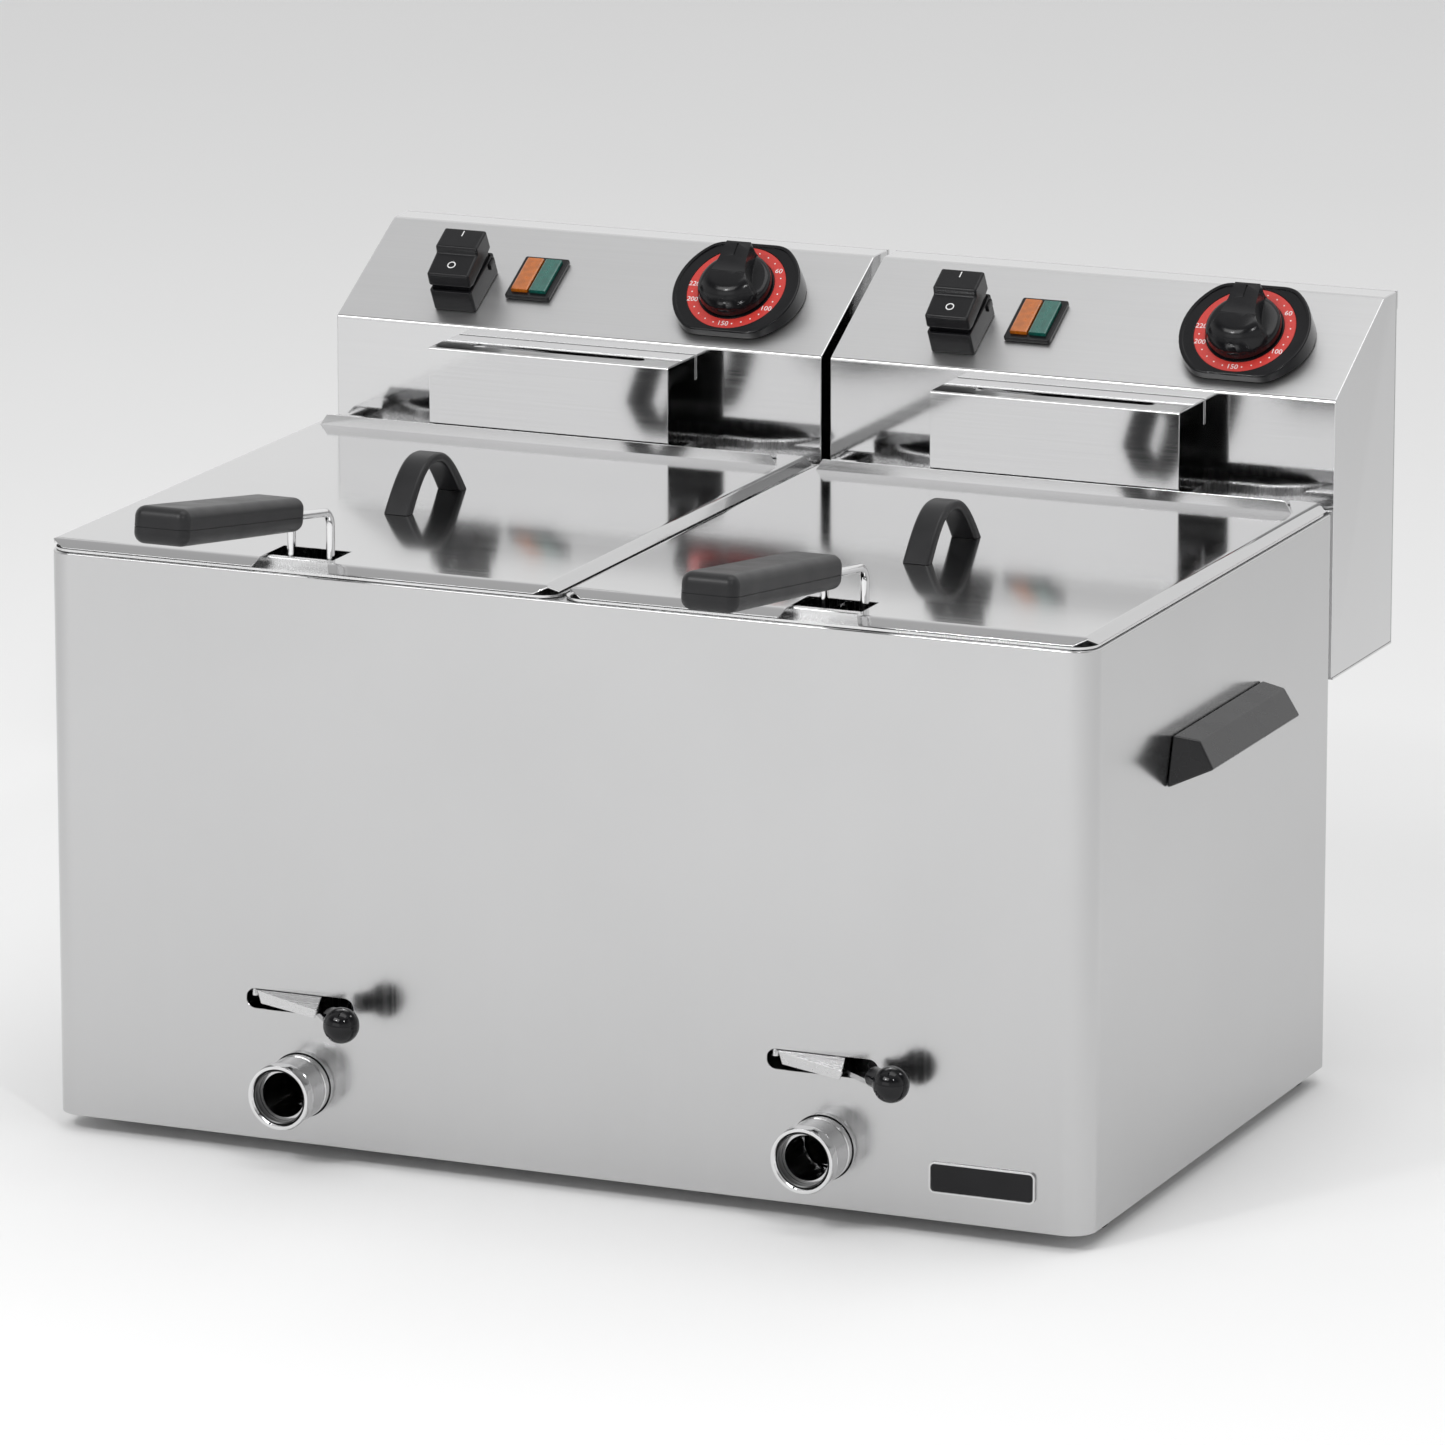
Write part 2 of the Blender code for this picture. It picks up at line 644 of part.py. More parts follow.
def lid(side):
    """Folded sheet: sloping flanges at the front and sides, an upstand at the back and a handle notch."""
    x = SIDES[side] * HALF_PITCH
    half = LID_HALF_WIDTH
    mid = LID_TOP - LID_SHEET / 2
    tab = half - 0.0040
    outline = [
        (-half, LID_FRONT), (-NOTCH_HALF_WIDTH, LID_FRONT), (-NOTCH_HALF_WIDTH, NOTCH_DEPTH),
        (NOTCH_HALF_WIDTH, NOTCH_DEPTH), (NOTCH_HALF_WIDTH, LID_FRONT), (half, LID_FRONT),
        (half, LID_EAR_BACK), (half - 0.0160, LID_EAR_BACK), (tab, LID_BACK),
        (-tab, LID_BACK), (-half + 0.0160, LID_EAR_BACK), (-half, LID_EAR_BACK),
    ]
    bm = bmesh.new()
    verts = [bm.verts.new(at(x + px, depth, mid)) for px, depth in outline]
    bm.faces.new(verts)
    drop = -(LID_FOLD - LID_SHEET / 2)
    out = LID_FOLD - LID_SHEET / 2
    fold(bm, (verts[0], verts[1]), (0, -out, 0), drop, LID_CORNER_CUT, 0)
    fold(bm, (verts[4], verts[5]), (0, -out, 0), drop, 0, LID_CORNER_CUT)
    fold(bm, (verts[5], verts[6]), (out, 0, 0), drop, LID_CORNER_CUT, 0.0010)
    fold(bm, (verts[11], verts[0]), (-out, 0, 0), drop, 0.0010, LID_CORNER_CUT)
    fold(bm, (verts[8], verts[9]), (0, 0.0004, 0), LID_UPSTAND, 0.0040, 0.0040)
    bmesh.ops.triangulate(bm, faces=bm.faces)
    return solidify(from_bmesh(f"lid_{side}", bm, "bright_steel"), LID_SHEET, 0.0)


def lid_handle(side):
    """Moulded strap in a pointed arch that is thickest at its feet."""
    x = SIDES[side] * HALF_PITCH
    half = (STRAP_BACK - STRAP_FRONT) / 2
    middle = (STRAP_BACK + STRAP_FRONT) / 2

    def arch(run, height, steps):
        shares = [2 * i / steps - 1 for i in range(steps + 1)]
        return [(run * u, height * math.cos(math.pi / 2 * abs(u) ** 1.15)) for u in shares]

    outer = arch(half, STRAP_HEIGHT, 16)
    inner = arch(half - STRAP_FOOT, STRAP_HEIGHT - STRAP_CROWN, 16)
    frame = Matrix.Translation(at(x, middle, LID_TOP + GAP)) @ Matrix(
        ((0, 0, 1, 0), (1, 0, 0, 0), (0, 1, 0, 0), (0, 0, 0, 1)))
    return flat_outline(f"lid_handle_{side}", outer + inner[::-1], -STRAP_WIDTH / 2, STRAP_WIDTH / 2,
                        "black_matte", frame)


# ---- Basket ----
def basket(side):
    """Open-topped shell with the outer shape of the wire basket."""
    x = SIDES[side] * HALF_PITCH
    shift = BASKET_SHIFT[side]
    bm = cube_bmesh(at(x - BASKET_HALF_WIDTH, BASKET_FRONT + shift, BASKET_BOTTOM),
                    at(x + BASKET_HALF_WIDTH, BASKET_BACK + shift, BASKET_TOP))
    bevel_edges(bm, [edge for edge in bm.edges if runs_along(edge, 2)], 0.0150, 3)
    open_face = max(bm.faces, key=lambda face: face.calc_center_median().z)
    bmesh.ops.delete(bm, geom=[open_face], context="FACES_ONLY")
    return solidify(from_bmesh(f"basket_{side}", bm, "chrome"), BASKET_WALL)


def grip_line(side, depth):
    """The height of the grip's axis at a depth."""
    return WIRE_BEND_HEIGHT[side] + (WIRE_DEPTH - depth) * math.tan(math.radians(GRIP_TILT_DEG[side]))


def handle_wire(side):
    """One wire bent into a long U: down the basket's front and up into the grip at both ends."""
    x = SIDES[side] * HALF_PITCH
    shift = BASKET_SHIFT[side]
    end = GRIP_BACK - GRIP_SOCKET + 0.002
    profile = [(end, grip_line(side, end)), (WIRE_DEPTH, WIRE_BEND_HEIGHT[side]), (WIRE_DEPTH, WIRE_BOTTOM)]
    down = [at(x - WIRE_HALF_SPACING, depth + shift, z) for depth, z in profile]
    up = [at(x + WIRE_HALF_SPACING, depth + shift, z) for depth, z in reversed(profile)]
    return tube(f"basket_handle_wire_{side}", filleted(down + up, 0.0080), WIRE_RADIUS, "chrome")


def basket_grip(side):
    """Moulded grip with two sockets for the wire."""
    x = SIDES[side] * HALF_PITCH
    place = at(x, GRIP_BACK + BASKET_SHIFT[side], grip_line(side, GRIP_BACK))
    frame = Matrix.Translation(place) @ Matrix.Rotation(math.radians(-GRIP_TILT_DEG[side]), 4, "X")
    grip = box(f"basket_grip_{side}", (-GRIP_WIDTH / 2, -GRIP_LENGTH, -GRIP_THICKNESS / 2),
               (GRIP_WIDTH / 2, 0, GRIP_THICKNESS / 2), "black_matte", width=0.0040, segments=3, matrix=frame)
    for end, offset in (("a", -WIRE_HALF_SPACING), ("b", WIRE_HALF_SPACING)):
        turn = Matrix.Rotation(math.radians(90), 4, "X")
        socket = cylinder(f"cut_grip_socket_{end}_{side}", WIRE_RADIUS + 0.0004, -0.01, GRIP_SOCKET, None,
                          frame @ Matrix.Translation((offset, 0, 0)) @ turn, sides=12)
        cut(grip, socket)
    return grip


# ---- Control head ----
def head_shell(side):
    """Folded sheet head, open behind and below, with its hanger, cut-outs and element holes."""
    x = SIDES[side] * HALF_PITCH
    outline = [(HEAD_FRONT, HEAD_BOTTOM), (HEAD_FRONT, HEAD_BEND), (HEAD_TOP_FRONT, HEAD_TOP),
               (HEAD_BACK, HEAD_TOP), (HEAD_BACK, HEAD_BOTTOM)]
    bm = bmesh.new()
    face = bm.faces.new([bm.verts.new(at(x - HEAD_HALF_WIDTH, depth, z)) for depth, z in outline])
    made = bmesh.ops.extrude_face_region(bm, geom=[face])["geom"]
    moved = [item for item in made if isinstance(item, bmesh.types.BMVert)]
    bmesh.ops.translate(bm, vec=(2 * HEAD_HALF_WIDTH, 0, 0), verts=moved)
    back = max(bm.faces, key=lambda face: face.calc_center_median().y)
    bottom = min(bm.faces, key=lambda face: face.calc_center_median().z)
    bmesh.ops.delete(bm, geom=[back, bottom], context="FACES_ONLY")
    shell = solidify(from_bmesh(f"head_shell_{side}", bm, "steel"), SHEET)
    hanger = box(f"add_hanger_{side}", at(x - 0.0600, 0.3215, RIM_TOP + 0.0004),
                 at(x + 0.0600, HEAD_FRONT + SHEET * 0.6, RIM_TOP + 0.0016), None)
    join(shell, hanger)
    panel = panel_frame(x)
    cut(shell,
        box(f"cut_switch_{side}", (SWITCH_OFFSET - 0.0110, SWITCH_ALONG - 0.0150, -0.01),
            (SWITCH_OFFSET + 0.0110, SWITCH_ALONG + 0.0150, 0.01), None, matrix=panel),
        box(f"cut_lamp_{side}", (LAMP_OFFSET - 0.0110, LAMP_ALONG - 0.0150, -0.01),
            (LAMP_OFFSET + 0.0110, LAMP_ALONG + 0.0150, 0.01), None, matrix=panel),
        cylinder(f"cut_shaft_{side}", 0.0080, -0.03, 0.01, None, dial_frame(x), sides=20))
    for end, offset in (("a", -ELEMENT_INNER), ("b", ELEMENT_INNER)):
        hole = cylinder(f"cut_element_{end}_{side}", ELEMENT_RADIUS + 0.0010, HEAD_FRONT - 0.01, HEAD_FRONT + 0.01,
                        None, along_y(x + offset, ELEMENT_TERMINAL_HEIGHT), sides=16)
        cut(shell, hole)
    return shell


def head_back_cover(side):
    """Back and bottom plate of the head, with a doubled strip along its top edge."""
    x = SIDES[side] * HALF_PITCH
    half = HEAD_HALF_WIDTH
    plate_front = HEAD_BACK + GAP
    plate = box(f"head_back_cover_{side}", at(x - half, plate_front, HEAD_BOTTOM - 0.0013),
                at(x + half, plate_front + SHEET, HEAD_TOP), "steel")
    floor = box(f"add_head_floor_{side}", at(x - half, HEAD_FRONT + 0.0010, HEAD_BOTTOM - 0.0013),
                at(x + half, plate_front + SHEET * 0.6, HEAD_BOTTOM - GAP), None)
    strip = box(f"add_head_strip_{side}", at(x - half, plate_front + SHEET * 0.4, HEAD_TOP - 0.0095),
                at(x + half, plate_front + 0.0022, HEAD_TOP), None)
    hole = cylinder(f"cut_gland_{side}", 0.0068, HEAD_BACK - 0.01, HEAD_BACK + 0.01, None,
                    along_y(x, GLAND_HEIGHT), sides=16)
    join(plate, floor, strip)
    return cut(plate, hole)


def element_cover(side):
    """Folded sheet over the element's rising tubes, with a long slot in its top."""
    x = SIDES[side] * HALF_PITCH
    bm = cube_bmesh(at(x - COVER_HALF_WIDTH, COVER_FRONT, COVER_BOTTOM),
                    at(x + COVER_HALF_WIDTH, COVER_BACK, COVER_TOP))
    ends = [face for face in bm.faces if abs(face.normal.x) > 0.9 or face.normal.z < -0.9]
    bmesh.ops.delete(bm, geom=ends, context="FACES_ONLY")
    for vert in bm.verts:
        if vert.co.y > FRONT_Y + (COVER_FRONT + COVER_BACK) / 2 and vert.co.z < COVER_TOP - 0.001:
            vert.co.z = COVER_BACK_BOTTOM
    cover = solidify(from_bmesh(f"element_cover_{side}", bm, "steel"), SHEET)
    slot = rounded_prism(f"cut_cover_slot_{side}", at(x - 0.0495, 0.3130, COVER_TOP - 0.01),
                         at(x + 0.0495, 0.3205, COVER_TOP + 0.01), 0.0037, 4, None)
    return cut(cover, slot)


def heating_element(side):
    """Tube from the head down into the tank, and round its floor in four runs."""
    x = SIDES[side] * HALF_PITCH
    low, deep, fore = ELEMENT_HEIGHT, ELEMENT_DEPTH, ELEMENT_FRONT
    half = [(ELEMENT_INNER, 0.3520, ELEMENT_TERMINAL_HEIGHT), (ELEMENT_INNER, deep, ELEMENT_TERMINAL_HEIGHT),
            (ELEMENT_INNER, deep, low), (ELEMENT_OUTER, deep, low), (ELEMENT_OUTER, fore, low),
            (ELEMENT_INNER, fore, low), (ELEMENT_INNER, 0.2600, low)]
    corners = [at(x + px, depth, z) for px, depth, z in half]
    corners += [at(x - px, depth, z) for px, depth, z in reversed(half)]
    return tube(f"heating_element_{side}", filleted(corners, ELEMENT_BEND, steps=3), ELEMENT_RADIUS, "element_metal", resolution=1)


def thermostat(side):
    frame = dial_frame(SIDES[side] * HALF_PITCH)
    body = box(f"thermostat_{side}", (-0.0180, -0.0180, -0.0460), (0.0180, 0.0180, -0.0220), "black_matte",
               width=0.0015, segments=1, matrix=frame)
    shaft = cylinder(f"add_shaft_{side}", SHAFT_RADIUS, -0.0230, 0.0120, None, frame, sides=12)
    return join(body, shaft)


def dial_plate(side):
    """Wedge-shaped bezel: round with flats above and below, lying on the sloped panel."""
    x = SIDES[side] * HALF_PITCH
    frame = dial_frame(x)
    limit = math.asin(DIAL_FLAT / DIAL_RADIUS)
    arc = [limit * (2 * i / 12 - 1) for i in range(13)]
    right = [(DIAL_RADIUS * math.cos(a), DIAL_RADIUS * math.sin(a)) for a in arc]
    outline = right + [(-px, py) for px, py in reversed(right)]
    plate = flat_outline(f"dial_plate_{side}", outline, -0.0300, 0, "black_gloss", frame)
    below = box(f"cut_dial_plate_{side}", (-0.20, -0.10, -0.10), (0.20, 0.20, GAP), None, matrix=panel_frame(x))
    hole = cylinder(f"cut_dial_shaft_{side}", SHAFT_RADIUS + 0.0010, -0.05, 0.01, None, frame, sides=16)
    return cut(plate, below, hole)


def dial_knob(side):
    """Round skirt with a flat-topped bar that falls in a curve at the front, on the thermostat's shaft."""
    frame = dial_frame(SIDES[side] * HALF_PITCH)
    knob = cylinder(f"knob_{side}", DIAL_KNOB_RADIUS, 0.0008, 0.0070, "black_matte", frame, sides=32,
                    top_radius=DIAL_KNOB_RADIUS - 0.0015)
    half, tip = KNOB_BAR
    outline = [(-0.0192, 0.0040), (tip, 0.0040), (tip - 0.0004, DIAL_KNOB_HEIGHT - 0.0010),
               (tip - 0.0014, DIAL_KNOB_HEIGHT), (-0.0080, DIAL_KNOB_HEIGHT), (-0.0130, 0.0142),
               (-0.0170, 0.0110), (-0.0190, 0.0070)]
    bar = flat_outline(f"add_knob_bar_{side}", outline, -half, half, None, frame @ ACROSS)
    socket = cylinder(f"cut_knob_{side}", SHAFT_RADIUS + 0.0004, -0.01, 0.0125, None, frame, sides=12)
    join(knob, bar)
    return cut(knob, socket)


def switch_housing(side):
    """Open-topped housing of the rocker, passing through the panel."""
    frame = panel_frame(SIDES[side] * HALF_PITCH) @ Matrix.Translation((SWITCH_OFFSET, SWITCH_ALONG, 0))
    width, length = SWITCH_SIZE
    body = box(f"switch_housing_{side}", (-width / 2, -length / 2, GAP), (width / 2, length / 2, SWITCH_RIM),
               "black_matte", width=0.0007, segments=1, matrix=frame)
    under_panel = box(f"add_switch_body_{side}", (-0.0105, -0.0145, -0.0200), (0.0105, 0.0145, 0.0030), None,
                      matrix=frame)
    well = box(f"cut_switch_well_{side}", (-width / 2 + 0.0010, -length / 2 + 0.0014, 0.0050),
               (width / 2 - 0.0010, length / 2 - 0.0014, 0.03), None, matrix=frame)
    join(body, under_panel)
    return cut(body, well)


def switch_rocker(side):
    """Rocker with a foot inside the housing, a wider cap over it and a raised block on its upper half."""
    frame = panel_frame(SIDES[side] * HALF_PITCH) @ Matrix.Translation((SWITCH_OFFSET, SWITCH_ALONG, SWITCH_PIVOT))
    half_width = SWITCH_SIZE[0] / 2
    rocker_frame = frame @ Matrix.Rotation(math.radians(7), 4, "X")
    cap = [(-0.0150, 0.0074), (-0.0134, 0.0150), (0.0018, 0.0152), (0.0031, 0.0188), (0.0180, 0.0174),
           (0.0166, 0.0060), (0.0120, 0.0056), (-0.0110, 0.0056)]
    foot = [(-0.0138, 0.0080), (0.0138, 0.0080), (0.0138, -0.0006), (0.0040, -0.0036), (-0.0040, -0.0036),
            (-0.0138, -0.0006)]
    rocker = flat_outline(f"switch_rocker_{side}", cap, -half_width, half_width, "black_matte",
                          rocker_frame @ ACROSS)
    stem = flat_outline(f"add_rocker_foot_{side}", foot, 0.0014 - half_width, half_width - 0.0014, None,
                        rocker_frame @ ACROSS)
    join(rocker, stem)
    return under(rocker, pivot(f"switch_pivot_{side}", frame.translation))


def lamp(side):
    """Pilot lamp: a bezel with an amber and a green lens."""
    frame = panel_frame(SIDES[side] * HALF_PITCH) @ Matrix.Translation((LAMP_OFFSET, LAMP_ALONG, 0))
    width, length = LAMP_SIZE
    bezel = box(f"lamp_bezel_{side}", (-width / 2, -length / 2, GAP), (width / 2, length / 2, 0.0030), "black_gloss",
                width=0.0009, segments=1, matrix=frame)
    body = box(f"add_lamp_body_{side}", (-0.0105, -0.0145, -0.0160), (0.0105, 0.0145, 0.0015), None, matrix=frame)
    join(bezel, body)
    for colour, offset in (("amber", -0.0052), ("green", 0.0052)):
        low = Vector((offset - 0.0046, -0.0128, -0.0040))
        high = Vector((offset + 0.0046, 0.0128, 0.0052))
        room = Vector((GAP, GAP, GAP))
        window = box(f"cut_lamp_{colour}_{side}", low - room, high + room, None, matrix=frame)
        cut(bezel, window)
        box(f"lamp_{colour}_{side}", low, high, colour, width=0.0010, segments=1, matrix=frame)
    return bezel


def cable_gland(side):
    """Strain relief on the head's back."""
    x = SIDES[side] * HALF_PITCH
    start = HEAD_BACK + GAP + SHEET + GAP
    profile = [(0.0045, GLAND_END), (0.0070, GLAND_END), (0.0085, GLAND_END - 0.0040), (0.0085, start + 0.0055),
               (0.0110, start + 0.0050), (0.0110, start), (0.0045, start)]
    return turned(f"cable_gland_{side}", profile, "black_matte", along_y(x, GLAND_HEIGHT), steps=16)


def build():
    casing()
    bottom_plate()
    feet()
    badge()
    for side in SIDES:
        side_handle(side)
        for piece in (tank, tap_body, nipple, drain_ball, drain_lever, lever_knob, latch, lid, lid_handle,
                      basket, handle_wire, basket_grip, head_shell, head_back_cover, element_cover,
                      heating_element, thermostat, dial_plate, dial_knob, switch_housing, switch_rocker,
                      lamp, cable_gland):
            piece(side)


build()
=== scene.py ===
"""Looks of a counter-top deep fryer with two tanks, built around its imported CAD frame.

Lengths are in metres and +Z is up. A "depth" is measured back from the casing's front face, and
a piece's own X is measured from the middle of its tank. Shapes that repeat are made once a side.
"""

import json
import math

import bmesh
import bpy
from mathutils import Matrix, Vector


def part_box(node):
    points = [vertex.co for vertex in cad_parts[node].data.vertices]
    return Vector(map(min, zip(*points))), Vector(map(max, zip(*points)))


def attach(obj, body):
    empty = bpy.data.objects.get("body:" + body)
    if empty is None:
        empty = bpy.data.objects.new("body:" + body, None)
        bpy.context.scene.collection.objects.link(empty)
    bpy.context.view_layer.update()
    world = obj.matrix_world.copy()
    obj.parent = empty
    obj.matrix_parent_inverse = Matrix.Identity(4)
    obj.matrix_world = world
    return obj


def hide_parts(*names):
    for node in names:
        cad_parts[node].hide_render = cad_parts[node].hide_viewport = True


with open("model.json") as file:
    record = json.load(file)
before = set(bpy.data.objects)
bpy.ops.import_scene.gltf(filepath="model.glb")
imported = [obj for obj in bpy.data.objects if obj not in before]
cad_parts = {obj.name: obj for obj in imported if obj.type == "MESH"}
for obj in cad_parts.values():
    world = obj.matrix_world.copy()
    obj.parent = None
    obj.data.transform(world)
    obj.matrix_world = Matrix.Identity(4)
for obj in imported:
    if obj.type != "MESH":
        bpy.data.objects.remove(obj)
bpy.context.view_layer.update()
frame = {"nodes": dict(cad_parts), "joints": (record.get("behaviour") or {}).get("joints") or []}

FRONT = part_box("casing")[0][1]
JOINTS = {joint["name"]: joint for joint in frame["joints"]}
SIDES = {"left": -1, "right": 1}


# ---- Places ----
def centre_of(node):
    """The middle of a CAD node's box."""
    low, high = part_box(node)
    return (Vector(low) + Vector(high)) / 2


def place(side, x, depth, z):
    """A point by its distance from the middle of its side's tank, its depth and its height."""
    low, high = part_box(f"lid_{side}")
    return Vector(((low[0] + high[0]) / 2 + x, FRONT + depth, z))


def depth_of(node, end):
    """How far back a CAD node starts (end 0) or stops (end 1)."""
    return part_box(node)[end][1] - FRONT


def tilted(origin, degrees):
    """A frame at a point, turned about X."""
    return Matrix.Translation(origin) @ Matrix.Rotation(math.radians(degrees), 4, "X")


HEAD_FRONT = depth_of("head_shell_left", 1) - 0.0891  # the depth of the head's upright front
HEAD_BEND = 0.3569  # the height where that front turns into the sloped panel
HEAD_TOP = float(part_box("head_shell_left")[1][2])
HEAD_TOP_FRONT = HEAD_FRONT + 0.0719  # the depth where the sloped panel ends
SLOPE_DEG = math.degrees(math.atan2(HEAD_TOP - HEAD_BEND, HEAD_TOP_FRONT - HEAD_FRONT))


def panel_frame(side, across, along):
    """A frame on the sloped panel: X right, Y up the slope, Z out of it."""
    return tilted(place(side, 0, HEAD_FRONT, HEAD_BEND), SLOPE_DEG) @ Matrix.Translation((across, along, 0))


def joint_frame(name):
    """A frame at a hinge, with Z along the hinge's axis and X along the world's X."""
    joint = JOINTS[name]
    z = Vector(joint["axis"]).normalized()
    x = Vector((1, 0, 0))
    y = z.cross(x).normalized()
    turn = Matrix((x, y, z)).transposed().to_4x4()
    return Matrix.Translation(joint["pos_m"]) @ turn


# ---- Mesh helpers ----
def link(name, data, matrix=None):
    obj = bpy.data.objects.new(name, data)
    bpy.context.scene.collection.objects.link(obj)
    if matrix is not None:
        obj.matrix_world = matrix
    return obj


def solid(name, bm, matrix=None):
    """A mesh object from a bmesh."""
    bmesh.ops.recalc_face_normals(bm, faces=bm.faces)
    mesh = bpy.data.meshes.new(name)
    bm.to_mesh(mesh)
    bm.free()
    return link(name, mesh, matrix)


def applied(obj):
    """The object with its modifiers, or its curve, made into plain mesh."""
    bpy.context.view_layer.update()
    graph = bpy.context.evaluated_depsgraph_get()
    mesh = bpy.data.meshes.new_from_object(obj.evaluated_get(graph))
    if obj.type == "MESH":
        obj.modifiers.clear()
        obj.data = mesh
        return obj
    name, matrix = obj.name, obj.matrix_world.copy()
    bpy.data.objects.remove(obj, do_unlink=True)
    return link(name, mesh, matrix)


def boolean(obj, other, operation="DIFFERENCE"):
    """Applies a Boolean and removes its tool."""
    modifier = obj.modifiers.new("boolean", "BOOLEAN")
    modifier.operation = operation
    modifier.solver = "EXACT"
    modifier.object = other
    applied(obj)
    bpy.data.objects.remove(other, do_unlink=True)
    return obj


def cut(obj, bm, matrix=None):
    """Cuts a shape out of an object."""
    return boolean(obj, solid("tool", bm, matrix))


def add(obj, bm, matrix=None):
    """Joins a shape to an object."""
    return boolean(obj, solid("tool", bm, matrix), "UNION")


def soften(obj, width, segments=2, degrees=40):
    """Rounds every edge sharper than an angle."""
    modifier = obj.modifiers.new("soften", "BEVEL")
    modifier.width = width
    modifier.segments = segments
    modifier.limit_method = "ANGLE"
    modifier.angle_limit = math.radians(degrees)
    return applied(obj)


def thicken(obj, thickness, offset=-1.0):
    modifier = obj.modifiers.new("sheet", "SOLIDIFY")
    modifier.thickness = thickness
    modifier.offset = offset
    modifier.use_even_offset = True
    return applied(obj)


def shown(obj, material, body, node=None, sharp_deg=32):
    """Finishes a piece: shading, material, the body it rides on and the CAD node it stands for."""
    mesh = obj.data
    mesh.materials.clear()
    mesh.materials.append(material)
    if obj.type == "MESH":
        mesh.shade_smooth()
        mesh.set_sharp_from_angle(angle=math.radians(sharp_deg))
        weighted = obj.modifiers.new("normals", "WEIGHTED_NORMAL")
        weighted.keep_sharp = True
        weighted.weight = 60
    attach(obj, body)
    if node:
        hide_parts(node)
    return obj


def box_bmesh(low, high):
    bm = bmesh.new()
    bmesh.ops.create_cube(bm, size=1.0)
    low, high = Vector(low), Vector(high)
    bmesh.ops.scale(bm, vec=high - low, verts=bm.verts)
    bmesh.ops.translate(bm, vec=(low + high) / 2, verts=bm.verts)
    return bm


def along(edge, axis):
    start, end = edge.verts
    return abs(abs((end.co - start.co).normalized()[axis]) - 1) < 1e-4


def round_edges(bm, edges, width, segments):
    bmesh.ops.bevel(bm, geom=list(edges), offset=width, segments=segments, profile=0.5, affect="EDGES")


def prism_bmesh(low, high, radius, segments=8, axis=2):
    """A box whose edges along one axis are rounded."""
    bm = box_bmesh(low, high)
    round_edges(bm, [edge for edge in bm.edges if along(edge, axis)], radius, segments)
    return bm


def skin(rings, closed=False):
    """A closed surface over rings of points, capped at both ends unless it meets itself."""
    bm = bmesh.new()
    loops = [[bm.verts.new(point) for point in ring] for ring in rings]
    pairs = list(zip(loops, loops[1:]))
    if closed:
        pairs.append((loops[-1], loops[0]))
    for a, b in pairs:
        for i in range(len(a)):
            j = (i + 1) % len(a)
            bm.faces.new((a[i], a[j], b[j], b[i]))
    if not closed:
        bm.faces.new(loops[0])
        bm.faces.new(loops[-1])
    return bm


def turned(profile, sides=48):
    """A surface turned about Z from (radius, height) points. A profile off the axis closes on itself."""
    rings = []
    for i in range(sides):
        angle = 2 * math.pi * i / sides
        rings.append([(r * math.cos(angle), r * math.sin(angle), h) for r, h in profile])
    bm = skin(rings, closed=True)
    bmesh.ops.remove_doubles(bm, verts=bm.verts, dist=1e-6)
    bmesh.ops.dissolve_degenerate(bm, dist=1e-7, edges=bm.edges)
    return bm


def rod(radius, low, high, sides=32, inner=0.0):
    """A cylinder about Z, or a tube when it has an inner radius."""
    return turned([(inner, low), (radius, low), (radius, high), (inner, high)], sides)


def arc(centre, radius, start_deg, end_deg, steps):
    """Points (a, b) along an arc."""
    points = []
    for i in range(steps + 1):
        angle = math.radians(start_deg + (end_deg - start_deg) * i / steps)
        points.append((centre[0] + radius * math.cos(angle), centre[1] + radius * math.sin(angle)))
    return points


def rounded_rectangle(width, height, radius, steps=4):
    a, b = width / 2 - radius, height / 2 - radius
    points = []
    for (x, y), start in (((a, b), 0), ((-a, b), 90), ((-a, -b), 180), ((a, -b), 270)):
        points += arc((x, y), radius, start, start + 90, steps)
    return points


def extruded(outline, low, high):
    """A prism along Z from a flat outline."""
    return skin([[(x, y, low) for x, y in outline], [(x, y, high) for x, y in outline]])


def filleted(corners, radius, steps=6):
    """The points of a route whose inner corners are rounded."""
    route = [Vector(corners[0])]
    for before, corner, after in zip(corners, corners[1:], corners[2:]):
        corner = Vector(corner)
        back = (Vector(before) - corner).normalized()
        ahead = (Vector(after) - corner).normalized()
        half = back.angle(ahead) / 2
        reach = radius / math.tan(half)
        centre = corner + (back + ahead).normalized() * (radius / math.sin(half))
        start = corner + back * reach - centre
        end = corner + ahead * reach - centre
        for i in range(steps + 1):
            route.append(centre + start.lerp(end, i / steps).normalized() * radius)
    route.append(Vector(corners[-1]))
    return route


def wires(name, routes, radius, resolution=3, cyclic=False):
    """One mesh of round wires along several routes."""
    curve = bpy.data.curves.new(name, "CURVE")
    curve.dimensions = "3D"
    curve.bevel_depth = radius
    curve.bevel_resolution = resolution
    curve.use_fill_caps = True
    for route in routes:
        spline = curve.splines.new("POLY")
        spline.points.add(len(route) - 1)
        for point, spot in zip(spline.points, route):
            point.co = (*spot, 1.0)
        spline.use_cyclic_u = cyclic
    return applied(link(name, curve))


# ---- Materials ----
def new_shader(name, colour, metallic, roughness):
    material = bpy.data.materials.new(name)
    material.use_nodes = True
    tree = material.node_tree
    shader = tree.nodes["Principled BSDF"]
    shader.inputs["Base Color"].default_value = (*colour, 1.0)
    shader.inputs["Metallic"].default_value = metallic
    shader.inputs["Roughness"].default_value = roughness
    return material, tree, shader


